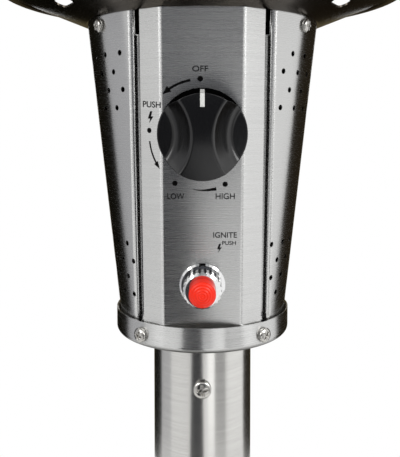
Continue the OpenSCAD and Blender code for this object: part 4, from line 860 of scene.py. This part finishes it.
# Name, azimuth and elevation in degrees, distance and size in metres, colour, strength
CARDS = [
    ("card_front", 0, 0, 1.0, (0.6, 0.57), "#5a5c62", 1.0),
    ("card_low_front", 7, -31, 1.0, (0.2, 0.22), "#ffffff", 1.2),
    ("card_front_left", -33, -2, 1.0, (0.56, 0.55), "#cccccc", 1.0),
    ("card_front_right", 33, -2, 1.0, (0.56, 0.55), "#cccccc", 1.0),
    ("card_low_left", -12, -35, 0.312, (0.105, 0.28), "#3c3c3f", 1.0),
    ("card_low_right", 19, -25, 1.0, (0.28, 0.32), "#ffffff", 1.8),
    ("card_low_far_right", 41, -28, 1.1, (0.46, 0.5), "#b4b4b4", 1.0),
    ("card_side_left", -95, -8, 1.0, (0.61, 1.2), "#cfcfd2", 1.0),
    ("card_side_right", 87, -8, 1.2, (1.12, 1.2), "#ffffff", 1.2),
    ("card_back_left", -135, -8, 0.9, (0.77, 1.2), "#14120c", 1.0),
    ("card_back_right", 135, -8, 0.9, (0.77, 1.2), "#2a241a", 1.0),
    ("card_rear", 180, -8, 0.9, (0.73, 1.2), "#6b6148", 1.0),
]
# Name, place and size in metres, watts
SOFT_BOXES = [
    ("soft_box_left", (-1.2, -1.1, 1.35), (1.1, 1.1), 16),
    ("soft_box_right", (1.2, -1.0, 1.35), (1.1, 1.1), 21),
    ("soft_box_top", (0.0, -0.5, 1.9), (1.0, 1.0), 14),
]


def soft_box(name, place, size, watts):
    lamp = bpy.data.lights.new(name, "AREA")
    lamp.shape = "RECTANGLE"
    lamp.size, lamp.size_y = size
    lamp.energy = watts
    box = bpy.data.objects.new(name, lamp)
    box.location = place
    aim = Vector((0, 0, HEAD_HEIGHT)) - Vector(place)
    box.rotation_euler = aim.to_track_quat("-Z", "Y").to_euler()
    scene.collection.objects.link(box)


def card(name, azimuth, elevation, distance, size, colour, strength):
    """A flat card, seen from the head in a direction: azimuth from the front to the right, elevation upwards."""
    a, e = math.radians(azimuth), math.radians(elevation)
    way = Vector((math.sin(a) * math.cos(e), -math.cos(a) * math.cos(e), math.sin(e)))
    bpy.ops.mesh.primitive_plane_add(size=1, location=Vector((0, 0, HEAD_HEIGHT)) + way * distance)
    panel = bpy.context.object
    panel.name = name
    panel.rotation_euler = (-way).to_track_quat("Z", "Y").to_euler()
    panel.scale = (size[0], size[1], 1)
    glow = new_material(name, "#000000", 1.0, Specular_IOR_Level=0.0, Emission_Color=linear(colour),
                        Emission_Strength=strength)[0]
    panel.data.materials.append(glow)
    panel.visible_camera = False
    panel.visible_shadow = False
    panel.visible_diffuse = False


for box_row in SOFT_BOXES:
    soft_box(*box_row)
for card_row in CARDS:
    card(*card_row)
print(len(SOFT_BOXES), "lamps and", len(CARDS), "cards stand round the head")
